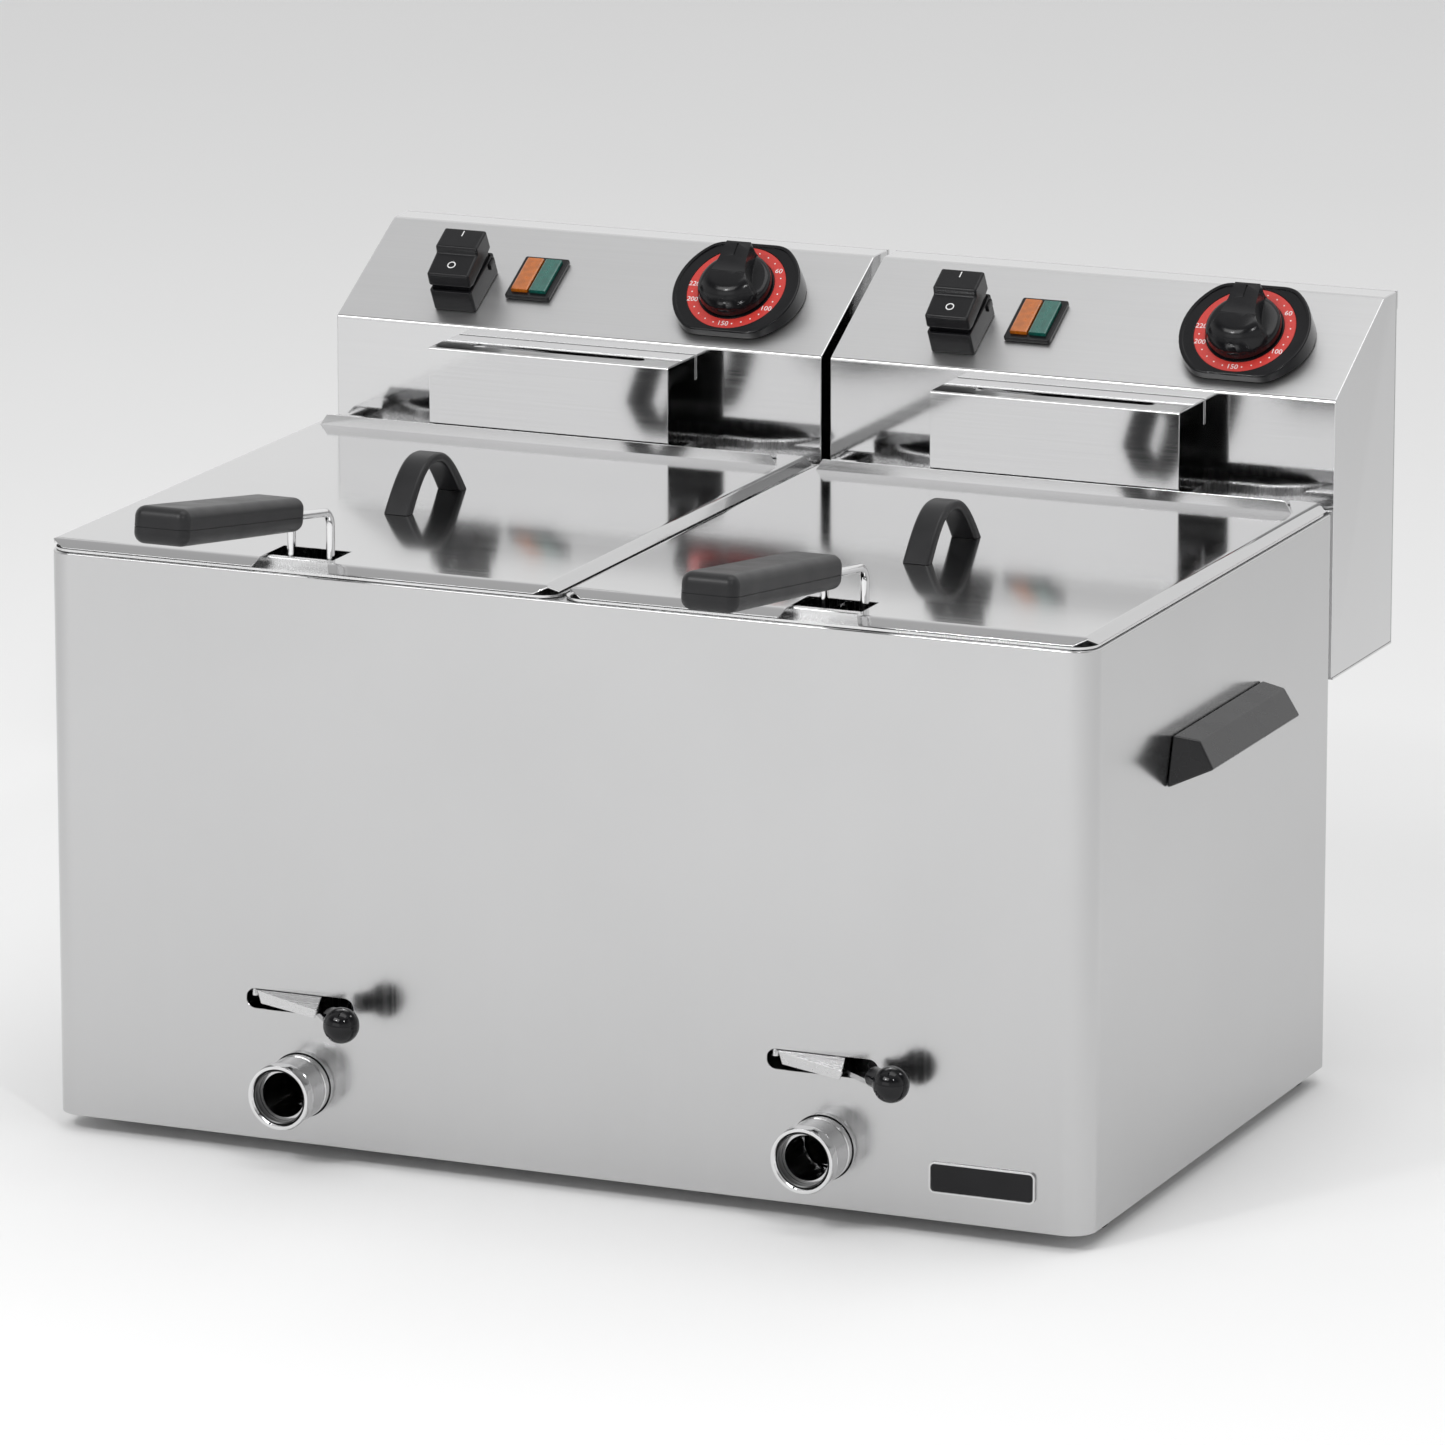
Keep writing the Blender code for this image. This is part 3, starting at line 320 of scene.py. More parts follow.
def node_of(tree, kind, **values):
    """A node whose settings and unlinked inputs are given by name."""
    node = tree.nodes.new(kind)
    for key, value in values.items():
        if hasattr(node, key):
            setattr(node, key, value)
        else:
            node.inputs[key.replace("_", " ")].default_value = value
    return node


def noise(tree, scale, detail, stretch=(1, 1, 1)):
    """Noise in the object's own space, stretched along its axes."""
    coordinates = tree.nodes.new("ShaderNodeTexCoord")
    mapping = node_of(tree, "ShaderNodeMapping", Scale=stretch)
    texture = node_of(tree, "ShaderNodeTexNoise", Scale=scale, Detail=detail)
    tree.links.new(coordinates.outputs["Object"], mapping.inputs["Vector"])
    tree.links.new(mapping.outputs["Vector"], texture.inputs["Vector"])
    return texture.outputs["Fac"]


def ramp(tree, source, low, high, out_low=0.0, out_high=1.0):
    """A value mapped from one range to another."""
    node = tree.nodes.new("ShaderNodeMapRange")
    for socket, value in (("From Min", low), ("From Max", high), ("To Min", out_low), ("To Max", out_high)):
        node.inputs[socket].default_value = value
    tree.links.new(source, node.inputs["Value"])
    return node.outputs["Result"]


def mixed(tree, factor, first, second, blend="MIX"):
    """Two colours mixed by a number or a socket. Each colour is a triple or a socket."""
    node = tree.nodes.new("ShaderNodeMix")
    node.data_type = "RGBA"
    node.blend_type = blend
    sockets = [socket for socket in node.inputs if socket.type == "RGBA"]
    if isinstance(factor, float):
        node.inputs[0].default_value = factor
    else:
        tree.links.new(factor, node.inputs[0])
    for socket, colour in zip(sockets, (first, second)):
        if isinstance(colour, tuple):
            socket.default_value = (*colour, 1.0)
        else:
            tree.links.new(colour, socket)
    return next(socket for socket in node.outputs if socket.type == "RGBA")


def bump(tree, shader, source, strength, distance):
    node = node_of(tree, "ShaderNodeBump", Strength=strength, Distance=distance)
    tree.links.new(source, node.inputs["Height"])
    tree.links.new(node.outputs["Normal"], shader.inputs["Normal"])


def edge_mask(tree, low=0.57, high=0.75):
    """1 on outer edges and 0 on flats, where a painted highlight goes."""
    geometry = tree.nodes.new("ShaderNodeNewGeometry")
    return ramp(tree, geometry.outputs["Pointiness"], low, high)


def steel(name, tone, roughness, grain_axis=0, grain=0.05, smudge=0.03, strength=0.10, slope_roughness=None,
          edges=True):
    """Stainless sheet: a fine grain along one axis, faint smudges and a painted highlight that brightens its
    edges.
    """
    material, tree, shader = new_shader(name, (tone, tone, tone), 1.0, roughness)
    stretch = [900.0, 900.0, 900.0]
    stretch[grain_axis] = 9.0
    lines = noise(tree, 1.0, 3.0, tuple(stretch))
    blotches = noise(tree, 9.0, 3.0)
    tint = ramp(tree, lines, 0.3, 0.7, 1 - grain, 1 + grain)
    base = (tone, tone, tone * 1.005)
    dark = tuple(value * (1 - smudge) for value in base)
    colour = mixed(tree, ramp(tree, blotches, 0.35, 0.7), base, dark)
    combine = tree.nodes.new("ShaderNodeCombineColor")
    for socket in combine.inputs:
        tree.links.new(tint, socket)
    result = mixed(tree, 1.0, colour, combine.outputs[0], "MULTIPLY")
    # Painted highlight: the base colour is made brighter on outer edges, as if they caught the light.
    if edges:
        bright = tuple(min(value * 1.10, 0.95) for value in base)
        result = mixed(tree, edge_mask(tree), result, bright)
    tree.links.new(result, shader.inputs["Base Color"])
    gloss = node_of(tree, "ShaderNodeMath", operation="ADD")
    tree.links.new(ramp(tree, lines, 0.3, 0.7, roughness * 0.85, roughness * 1.15), gloss.inputs[0])
    tree.links.new(ramp(tree, blotches, 0.3, 0.7, -roughness * 0.1, roughness * 0.1), gloss.inputs[1])
    finish = gloss.outputs[0]
    if slope_roughness:
        finish = brushed_slope(tree, finish, slope_roughness - roughness)
    tree.links.new(finish, shader.inputs["Roughness"])
    bump(tree, shader, lines, strength, 0.00002)
    return material


def brushed_slope(tree, finish, extra):
    """Adds roughness on the faces that slope like the control panel."""
    geometry = tree.nodes.new("ShaderNodeNewGeometry")
    dot = node_of(tree, "ShaderNodeVectorMath", operation="DOT_PRODUCT")
    slope = math.radians(SLOPE_DEG)
    dot.inputs[1].default_value = (0.0, -math.sin(slope), math.cos(slope))
    tree.links.new(geometry.outputs["Normal"], dot.inputs[0])
    total = node_of(tree, "ShaderNodeMath", operation="ADD")
    tree.links.new(finish, total.inputs[0])
    tree.links.new(ramp(tree, dot.outputs["Value"], 0.96, 0.99, 0.0, extra), total.inputs[1])
    return total.outputs[0]


def plastic(name, colour, roughness, texture=0.0, wear_and_highlight=0.06, specular=0.5):
    """Moulded plastic: fine texture, uneven gloss and a painted highlight that makes its edges a little lighter.
    """
    material, tree, shader = new_shader(name, colour, 0.0, roughness)
    grain = noise(tree, 2600.0, 2.0)
    haze = noise(tree, 60.0, 3.0)
    pale = tuple(value * 1.35 + 0.004 for value in colour)
    # Painted highlight: the edges are lifted by this amount, as if they caught the light.
    edge_highlight_colour = tuple(value + wear_and_highlight for value in colour)
    hazed = mixed(tree, ramp(tree, haze, 0.4, 0.75, 0.0, 0.5), colour, pale)
    tree.links.new(mixed(tree, edge_mask(tree), hazed, edge_highlight_colour), shader.inputs["Base Color"])
    tree.links.new(ramp(tree, haze, 0.3, 0.7, roughness * 0.88, roughness * 1.15), shader.inputs["Roughness"])
    shader.inputs["Specular IOR Level"].default_value = specular
    bump(tree, shader, grain, 0.15 + texture, 0.00003)
    return material


def lens(name, colour):
    """Translucent ribbed lamp lens."""
    material, tree, shader = new_shader(name, colour, 0.0, 0.30)
    cloud = noise(tree, 260.0, 2.0)
    deep = tuple(value * 0.72 for value in colour)
    tree.links.new(mixed(tree, ramp(tree, cloud, 0.35, 0.65), colour, deep), shader.inputs["Base Color"])
    tree.links.new(ramp(tree, cloud, 0.3, 0.7, 0.26, 0.36), shader.inputs["Roughness"])
    shader.inputs["Coat Weight"].default_value = 0.5
    shader.inputs["Coat Roughness"].default_value = 0.15
    shader.inputs["Subsurface Weight"].default_value = 0.15
    shader.inputs["Subsurface Radius"].default_value = (0.002, 0.002, 0.002)
    return material


def printed(name, colour, roughness):
    """Ink or enamel on plastic, with slight unevenness."""
    material, tree, shader = new_shader(name, colour, 0.0, roughness)
    speck = noise(tree, 900.0, 3.0)
    wear_and_highlight = tuple(value * 0.86 for value in colour)
    tree.links.new(mixed(tree, ramp(tree, speck, 0.45, 0.75), colour, wear_and_highlight), shader.inputs["Base Color"])
    tree.links.new(ramp(tree, speck, 0.3, 0.7, roughness * 0.9, roughness * 1.1), shader.inputs["Roughness"])
    return material


SATIN = steel("satin_steel", 0.55, 0.20, grain_axis=2, grain=0.012, smudge=0.015, strength=0.02, edges=False)
LID_STEEL = steel("lid_steel", 0.60, 0.10, grain_axis=0, grain=0.012, smudge=0.02, strength=0.02)
HEAD_STEEL = steel("head_steel", 0.62, 0.09, grain_axis=0, grain=0.015, smudge=0.02, strength=0.02,
                   slope_roughness=0.38)
TANK_STEEL = steel("tank_steel", 0.72, 0.26, grain_axis=2, grain=0.02, strength=0.03)
BRIGHT = steel("bright_steel", 0.70, 0.16, grain_axis=0, grain=0.015, strength=0.02)
LATCH_STEEL = steel("latch_steel", 0.66, 0.24, grain_axis=0, grain=0.012, strength=0.02)
CHROME = steel("chrome_plate", 0.76, 0.05, grain_axis=0, grain=0.01, smudge=0.02, strength=0.01)
TAP_STEEL = steel("tap_steel", 0.66, 0.13, grain_axis=1, grain=0.02, smudge=0.03, strength=0.02)
# Painted shade: near-black steel for the tube that lines a tap's bore and darkens its inside.
BORE_SHADE = steel("bore_painted_shade", 0.10, 0.34, grain_axis=1, grain=0.05, smudge=0.10)
SHEATH = steel("element_sheath", 0.16, 0.42, grain_axis=0, grain=0.10, smudge=0.25)
BLACK = plastic("black_matte", (0.010, 0.010, 0.011), 0.36, texture=0.05, wear_and_highlight=0.02, specular=0.32)
GRIP_BLACK = plastic("black_grip", (0.011, 0.011, 0.012), 0.38, texture=0.08, wear_and_highlight=0.015, specular=0.34)
GLOSS = plastic("black_gloss", (0.005, 0.005, 0.006), 0.14, wear_and_highlight=0.02, specular=0.28)
BALL_BLACK = plastic("black_ball", (0.003, 0.003, 0.004), 0.06, wear_and_highlight=0.01, specular=0.34)
KNOB_BLACK = plastic("black_knob", (0.005, 0.005, 0.006), 0.18, wear_and_highlight=0.02, specular=0.30)
SWITCH_BLACK = plastic("black_switch", (0.006, 0.006, 0.007), 0.24, wear_and_highlight=0.01, specular=0.28)
HANDLE_BLACK = plastic("black_handle", (0.009, 0.009, 0.010), 0.26, texture=0.03, wear_and_highlight=0.03, specular=0.45)
RUBBER = plastic("black_rubber", (0.020, 0.020, 0.020), 0.75, texture=0.30)
RED = printed("red_scale", (0.56, 0.042, 0.034), 0.30)
WHITE = printed("white_marks", (0.80, 0.80, 0.80), 0.45)
AMBER = lens("amber_lens", (0.50, 0.125, 0.002))
GREEN = lens("green_lens", (0.003, 0.11, 0.085))


# ---- Cabinet ----
SHEET = 0.0010
CASING_CORNERS = (0.0134, 0.0060)  # the radii of its front and back upright corners
CASING_ROLL = 0.0011  # the radius round its top edge
LEVER_SLOT = (0.0295, 0.0757, 0.0858)  # half its length, and the heights of its two edges
TAP_HOLE = 0.0166
TANK_WALL = 0.0010
TANK_CORNER = 0.0300
TANK_FLOOR = 0.1000
TANK_CLEARANCE = 0.0015
RIM_SHEET = 0.0012
LIP = (0.0032, 0.0040)  # the width and height of the raised edge round the tank's opening
OUTLET = (0.0150, 0.0125)  # the outer and inner radii of the tank's outlet pipe
OUTLET_DEPTH = 0.0720
HANDLE_REACH = 0.0203  # how far the softened side handle stands out from the wall
HANDLE_END = 0.0150  # the solid part at each end of its finger recess
THROUGH = 0.01  # how far a cutter goes past a sheet


def uppermost(bm):
    """The face whose middle is the highest."""
    return max(bm.faces, key=lambda face: face.calc_center_median().z)


def lowest(bm):
    """The face whose middle is the lowest."""
    return min(bm.faces, key=lambda face: face.calc_center_median().z)


def upright_edges(bm, y):
    """The upright edges in the plane at y."""
    return [edge for edge in bm.edges if along(edge, 2) and abs(edge.verts[0].co.y - y) < 1e-4]


def casing():
    """Wrap-round shell with a rolled top edge, tank openings, lever slots and tap holes."""
    low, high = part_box("casing")
    bm = box_bmesh(low, high)
    front_radius, back_radius = CASING_CORNERS
    round_edges(bm, upright_edges(bm, low[1]), front_radius, 12)
    round_edges(bm, upright_edges(bm, high[1]), back_radius, 6)
    round_edges(bm, uppermost(bm).edges, CASING_ROLL, 3)
    bmesh.ops.delete(bm, geom=[lowest(bm)], context="FACES_ONLY")
    shell = thicken(solid("casing_shell", bm), SHEET)
    reach, slot_low, slot_high = LEVER_SLOT
    radius = (slot_high - slot_low) / 2 - 0.00001
    for side in SIDES:
        near, far = tank_room(side, TANK_CLEARANCE)
        opening = prism_bmesh((*near, high[2] - THROUGH), (*far, high[2] + THROUGH), TANK_CORNER, 12)
        cut(shell, opening)
        slot = prism_bmesh(place(side, -reach, -THROUGH, slot_low), place(side, reach, THROUGH, slot_high),
                           radius, 10, 1)
        cut(shell, slot)
        cut(shell, rod(TAP_HOLE, -THROUGH, THROUGH, 96), tap_axis(side))
    shown(soften(shell, 0.00018, 1, 60), SATIN, "cabinet", "casing")


def tap_axis(side):
    """A frame at the front face on the tap's axis, with Z to the back."""
    spot = centre_of(f"drain_nipple_{side}")
    return tilted((spot.x, FRONT, spot.z), -90)


def tank_room(side, margin):
    """The tank's inner sides as two (x, y) corners, moved out by a margin."""
    near = place(side, -0.1200 - margin, 0.0155 - margin, 0)
    far = place(side, 0.1200 + margin, 0.3155 + margin, 0)
    return (near.x, near.y), (far.x, far.y)


def bowl_bmesh(side, margin, bottom, top, radius):
    """A deep-drawn bowl's shape, round at its corners and along its floor."""
    low, high = tank_room(side, margin)
    bm = prism_bmesh((*low, bottom), (*high, top), radius, 10)
    round_edges(bm, lowest(bm).edges, 0.0120, 5)
    return bm


def tank(side):
    """Tank with a flat rim, a raised lip and the outlet pipe to its tap."""
    low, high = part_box(f"tank_{side}")
    rim_bottom = high[2] - RIM_SHEET
    body = solid(f"tank_shell_{side}", prism_bmesh((low[0], low[1], rim_bottom), high, 0.0115, 8))
    corner = TANK_CORNER + TANK_WALL
    add(body, bowl_bmesh(side, TANK_WALL, TANK_FLOOR - TANK_WALL, high[2] - 0.0004, corner))
    lip_width, lip_height = LIP
    near, far = tank_room(side, lip_width)
    lip = prism_bmesh((*near, rim_bottom), (*far, high[2] + lip_height), TANK_CORNER + lip_width, 12)
    boolean(body, soften(solid("tool", lip), 0.0011, 3, 60), "UNION")
    cut(body, bowl_bmesh(side, 0, TANK_FLOOR, high[2] + 0.02, TANK_CORNER))
    outer, inner = OUTLET
    boolean(body, outlet(side, TANK_FLOOR - 0.0004, 0.0528, outer), "UNION")
    boolean(body, outlet(side, TANK_FLOOR + 0.004, 0.0480, inner))
    shown(soften(body, 0.0004, 2, 50), TANK_STEEL, "cabinet", f"tank_{side}")


def outlet(side, top, end_depth, radius):
    """A round pipe down from the tank's floor and forward to its tap."""
    level = tap_axis(side).translation.z
    corners = ((OUTLET_DEPTH, top), (OUTLET_DEPTH, level), (end_depth, level))
    route = [place(side, 0, depth, z) for depth, z in corners]
    return wires("tool", [filleted(route, 0.0180)], radius, 6)


def foot(row, side):
    """Tapered rubber foot with a screw sunk in it."""
    node = f"foot_{row}_{side}"
    spot = centre_of(node)
    axis = Matrix.Translation((spot.x, spot.y, 0))
    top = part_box(node)[1][2]
    profile = [(0.0, top), (0.0113, top), (0.0115, top - 0.0006), (0.0112, top - 0.0014), (0.0104, 0.0030),
               (0.0101, 0.0008), (0.0094, 0.0), (0.0052, 0.0), (0.0048, 0.0006), (0.0046, 0.0030),
               (0.0, 0.0030)]
    shown(solid(f"{node}_moulding", turned(profile, 40), axis), RUBBER, "cabinet", node)
    screw = [(0.0, 0.0015), (0.0034, 0.0015), (0.0040, 0.0020), (0.0036, 0.0027), (0.0020, 0.0032),
             (0.0, 0.0033)]
    shown(solid(f"{node}_screw", turned(screw, 24), axis), BRIGHT, "cabinet")


def badge():
    """Blank enamel plate in a thin bright frame."""
    low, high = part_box("badge")
    plate = solid("badge_frame", prism_bmesh(low, high, 0.0030, 6, 1))
    inset = 0.0009
    room = prism_bmesh((low[0] + inset, low[1] - 0.001, low[2] + inset),
                       (high[0] - inset, low[1] + 0.0004, high[2] - inset), 0.0022, 6, 1)
    cut(plate, room)
    shown(soften(plate, 0.00012, 2, 50), BRIGHT, "cabinet", "badge")
    face = prism_bmesh((low[0] + inset + 0.0001, low[1] + 0.00018, low[2] + inset + 0.0001),
                       (high[0] - inset - 0.0001, low[1] + 0.0007, high[2] - inset - 0.0001), 0.0021, 6, 1)
    shown(soften(solid("badge_enamel", face), 0.00015, 2, 50), GLOSS, "cabinet")


def side_handle(side):
    """Trapezoid bar handle, open underneath."""
    node, sign = f"side_handle_{side}", SIDES[side]
    low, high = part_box(node)
    wall = high[0] - HANDLE_REACH if sign > 0 else low[0] + HANDLE_REACH
    front, back = depth_of(node, 0), depth_of(node, 1)
    half, centre = (back - front) / 2, (back + front) / 2
    # By outer and upper corner: its reach from the wall, its inset from the bar's end and its height.
    corners = {
        (False, False): (0.0, 0.0, low[2]),
        (False, True): (0.0, 0.0077, high[2]),
        (True, False): (0.0209, 0.0091, low[2] + 0.0091),
        (True, True): (0.0130, 0.0105, high[2] - 0.0019),
    }
    bm = box_bmesh((0, 0, 0), (1, 1, 1))
    for vert in bm.verts:
        reach, inset, z = corners[vert.co.x > 0.5, vert.co.z > 0.5]
        end = (half - inset) * (1 if vert.co.y > 0.5 else -1)
        vert.co = Vector((wall + sign * reach, FRONT + centre + end, z))
    bar = soften(solid(f"side_handle_{side}_moulding", bm), 0.0011, 3, 20)
    near, far = sorted((wall + sign * 0.0034, wall + sign * 0.0118))
    near_end, far_end = FRONT + front + HANDLE_END, FRONT + back - HANDLE_END
    cut(bar, prism_bmesh((near, near_end, low[2] - THROUGH), (far, far_end, 0.2300), 0.0020, 4))
    shown(soften(bar, 0.0003, 1, 55), HANDLE_BLACK, "cabinet", node)


# ---- Drain tap ----
TAP_RADIUS = 0.0162
TAP_BORE = 0.0115
BALL_SEAT = 0.0140
STEM_DEPTH = 0.0143
STEM_HOLE = 0.0043
COLLAR_FLAT = 0.0163  # from the axis to a flat of the octagon
COLLAR_BORE = 0.0138
LEVER_HEIGHTS = (0.0761, 0.0786)  # the bar's underside and top
LEVER_NUT = 0.0047  # from the nut's middle to a corner
KNOB_REACH = 0.0539  # from the stem to the ball's middle
BALL_RADIUS = 0.0091
LATCH_HINGE = (-0.0262, 0.0040)  # its x and depth
LATCH_TOP = 0.0855
LATCH_SHEET = 0.0008
LATCH_SLOPE = 0.1150  # how far the leaf falls for each metre in front of the panel
LATCH_LIP = 0.0791


def upright_axis(side):
    """A frame on the tap's upright stem, with Z up from the table."""
    return Matrix.Translation(place(side, 0, STEM_DEPTH, 0))


def tap_body(side):
    """Bored cylinder with turned steps and a seat for the ball, and an upright boss for the stem."""
    node = f"drain_valve_body_{side}"
    axis, upright = tap_axis(side), upright_axis(side)
    level = axis.translation.z
    start, end = depth_of(node, 0), depth_of(node, 1)
    outer = TAP_RADIUS
    profile = [(TAP_BORE, start), (outer - 0.0004, start), (outer, start + 0.0004), (outer, -0.0062),
               (outer - 0.0005, -0.0058), (outer - 0.0005, -0.0046), (outer, -0.0042), (outer, 0.0300),
               (outer - 0.0014, 0.0312), (outer - 0.0014, end - 0.0120), (outer, end - 0.0110),
               (outer, end), (TAP_BORE, end)]
    body = solid(f"tap_body_{side}", turned(profile, 64), axis)
    boss = [(0.0, 0.0300), (0.0085, 0.0300), (0.0085, 0.0598), (0.0078, 0.0605), (0.0, 0.0605)]
    add(body, turned(boss, 40), upright)
    seat = [(max(radius, 0.0), height) for radius, height in arc((0, level), BALL_SEAT, -90, 90, 18)]
    cut(body, turned(seat, 48), upright)
    cut(body, rod(TAP_BORE, -0.08, 0.08, 64), axis)
    cut(body, rod(STEM_HOLE, level, 0.08), upright)
    shown(body, TAP_STEEL, "cabinet", node)


def tap_collar(side):
    """Octagonal end collar, turned down at both ends, with a countersunk bore and a dark tube of painted shade
    in it.
    """
    node = f"drain_nipple_{side}"
    axis = tap_axis(side)
    low, high = depth_of(node, 0), depth_of(node, 1)
    flat = COLLAR_FLAT
    octagon = arc((0, 0), flat / math.cos(math.radians(22.5)), 22.5, 337.5, 7)
    collar = solid(f"tap_collar_{side}", extruded(octagon, low, high), axis)
    turned_down = turned([(0.0, low - 0.001), (flat - 0.0004, low - 0.001), (flat + 0.0003, low + 0.0008),
                          (flat + 0.0007, low + 0.0020), (flat + 0.0007, high - 0.0012),
                          (flat + 0.0002, high + 0.001), (0.0, high + 0.001)], 96)
    boolean(collar, solid("tool", turned_down, axis), "INTERSECT")
    bore = COLLAR_BORE
    hole = turned([(0.0, low - THROUGH), (bore + 0.0010, low - THROUGH), (bore + 0.0010, low),
                   (bore + 0.0002, low + 0.0010), (bore, low + 0.0016), (bore, high + THROUGH),
                   (0.0, high + THROUGH)], 96)
    cut(collar, hole, axis)
    shown(soften(collar, 0.00022, 2, 35), CHROME, "cabinet", node)
    # A thin dark tube inside the bore: painted shade where the inside of the bore lies in shadow.
    bore_shade_liner = turned([(0.0131, low + 0.0022), (0.01365, low + 0.0018), (0.01365, high), (0.0131, high)], 64)
    shown(solid(f"tap_bore_shade_{side}", bore_shade_liner, axis), BORE_SHADE, "cabinet")


def lever_frame(side):
    """The tap's turning frame at rest: Z up the stem and the lever along local -Y."""
    stem = place(side, 0, STEM_DEPTH, 0)
    away = centre_of(f"lever_knob_{side}") - stem
    turn = math.atan2(away.x, -away.y)
    return Matrix.Translation(stem) @ Matrix.Rotation(turn, 4, "Z")


def drain_lever(side):
    """Flat bar on its hub with a nut, and a ball grip that tapers to the bar."""
    axes = lever_frame(side)
    body = f"tap_lever_{side}"
    low, high = LEVER_HEIGHTS
    bar = solid(f"lever_bar_{side}", rod(0.0065, low, high, 40), axes)
    add(bar, prism_bmesh((-0.0030, -0.0455, low), (0.0030, 0, high), 0.0028, 5), axes)
    add(bar, extruded(arc((0, 0), LEVER_NUT, 0, 300, 5), high - 0.0005, high + 0.0025), axes)
    shown(soften(bar, 0.00025, 2, 40), BRIGHT, body, f"drain_lever_{side}")

    start = 0.0375
    ball = [(max(radius, 0.0), height) for radius, height in arc((0.0, KNOB_REACH), BALL_RADIUS, 90, -46, 16)]
    neck, end = ball[-1]
    waist = [(neck - 0.0005, end - 0.0012), (0.0056, end - 0.0040), (0.0051, start + 0.0030),
             (0.0052, start + 0.0006), (0.0047, start), (0.0, start)]
    grip = solid(f"lever_ball_{side}", turned(ball + waist, 40), axes @ tilted((0, 0, 0.0800), 90))
    cut(grip, box_bmesh((-0.0034, -0.0459, low - 0.0004), (0.0034, -start + 0.003, high + 0.0004)), axes)
    shown(grip, BALL_BLACK, body, f"lever_knob_{side}", sharp_deg=40)


def latch(side):
    """Spring leaf on a hinge barrel: level behind the panel, and sloping in front of it down to a folded lip."""
    hinge_x, hinge_depth = LATCH_HINGE
    top, slope, lip = LATCH_TOP, LATCH_SLOPE, LATCH_LIP
    # Each outline is a list of (x, depth) points.
    fold_left, fold_right = (-0.0238, 0.0), (0.0120, 0.0)
    level = [fold_left, fold_right, (0.0110, 0.0030), (hinge_x, 0.0052), (hinge_x, 0.0028)]
    front = [(-0.0228, -0.0012), (0.0175, -0.0175)]
    lower = [(-0.0204, -0.0022), (0.0158, -0.0168)]
    bm = bmesh.new()
    spots = {}
    for x, depth in level + front:
        spots[x, depth] = bm.verts.new(place(side, x, depth, top + slope * min(depth, 0)))
    bm.faces.new([spots[spot] for spot in level])
    bm.faces.new([spots[spot] for spot in (fold_right, fold_left, *front)])
    drop = [bm.verts.new(place(side, x, depth, lip)) for x, depth in reversed(lower)]
    bm.faces.new([spots[front[0]], spots[front[1]], *drop])
    bmesh.ops.recalc_face_normals(bm, faces=bm.faces)
    leaf = thicken(solid(f"latch_leaf_{side}", bm), LATCH_SHEET)
    barrel = rod(0.0022, top - 0.0040, top + 0.0012, 24)
    add(leaf, barrel, Matrix.Translation(place(side, hinge_x, hinge_depth, 0)))
    shown(soften(leaf, 0.0002, 2, 50), LATCH_STEEL, f"latch_{side}", f"latch_plate_{side}")


# ---- Lid ----
LID_SHEET = 0.0008
LID_FOLD = 0.0045
LID_BEND = 0.0012  # the radius left in the sheet by the folding machine
LID_HALF = 0.1343
LID_DEPTHS = (0.0045, 0.3000, 0.3280)  # of its front edge, its back edge and the ends of its ears
EAR_WIDTH = 0.0160
CORNER_CUT = 0.0057  # how far the folded strips are cut back at the front corners
NOTCH_CUT = 0.0026
EAR_CUT = 0.0010
BACK_CUT = 0.0040
NOTCH = (-0.0215, 0.0155, 0.0325)  # the left and right ends of the handle's notch, and its depth


def fold(bm, edge, out, drop, cut_start, cut_end):
    """Folds a strip from an edge of the sheet, up or down. Its free edge is cut back at both ends."""
    start, end = edge
    run = (end.co - start.co).normalized()
    made = bmesh.ops.extrude_edge_only(bm, edges=[bm.edges.get(edge)])["geom"]
    verts = [item for item in made if isinstance(item, bmesh.types.BMVert)]
    first = min(verts, key=lambda vert: (vert.co - start.co).length)
    last = max(verts, key=lambda vert: (vert.co - start.co).length)
    first.co += Vector(out) + Vector((0, 0, drop)) + run * cut_start
    last.co += Vector(out) + Vector((0, 0, drop)) - run * cut_end


def lid(side):
    """Folded sheet lid with rounded folds."""
    half = LID_HALF
    front, back, ear = LID_DEPTHS
    notch_left, notch_right, notch_depth = NOTCH
    mid = float(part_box(f"lid_{side}")[0][2]) + LID_FOLD + 0.0003 - LID_SHEET / 2
    tab, ear_end = half - 0.0040, half - EAR_WIDTH
    outline = [
        (-half, front), (notch_left, front), (notch_left, notch_depth), (notch_right, notch_depth),
        (notch_right, front), (half, front),
        (half, ear), (ear_end, ear), (tab, back), (-tab, back), (-ear_end, ear), (-half, ear),
    ]
    bm = bmesh.new()
    verts = [bm.verts.new(place(side, x, depth, mid)) for x, depth in outline]
    bm.faces.new(verts)
    out = LID_FOLD - LID_SHEET / 2
    fold(bm, (verts[0], verts[1]), (0, -out, 0), -out, CORNER_CUT, NOTCH_CUT)
    fold(bm, (verts[4], verts[5]), (0, -out, 0), -out, NOTCH_CUT, CORNER_CUT)
    fold(bm, (verts[5], verts[6]), (out, 0, 0), -out, CORNER_CUT, EAR_CUT)
    fold(bm, (verts[11], verts[0]), (-out, 0, 0), -out, EAR_CUT, CORNER_CUT)
    fold(bm, (verts[8], verts[9]), (0, 0.0004, 0), 0.0062, BACK_CUT, BACK_CUT)
    round_edges(bm, [edge for edge in bm.edges if len(edge.link_faces) == 2], LID_BEND, 4)
    bmesh.ops.triangulate(bm, faces=[face for face in bm.faces if len(face.verts) > 4])
    sheet = thicken(solid(f"lid_sheet_{side}", bm), LID_SHEET, 0.0)
    shown(soften(sheet, 0.00018, 2, 60), LID_STEEL, f"lid_unit_{side}", f"lid_{side}")


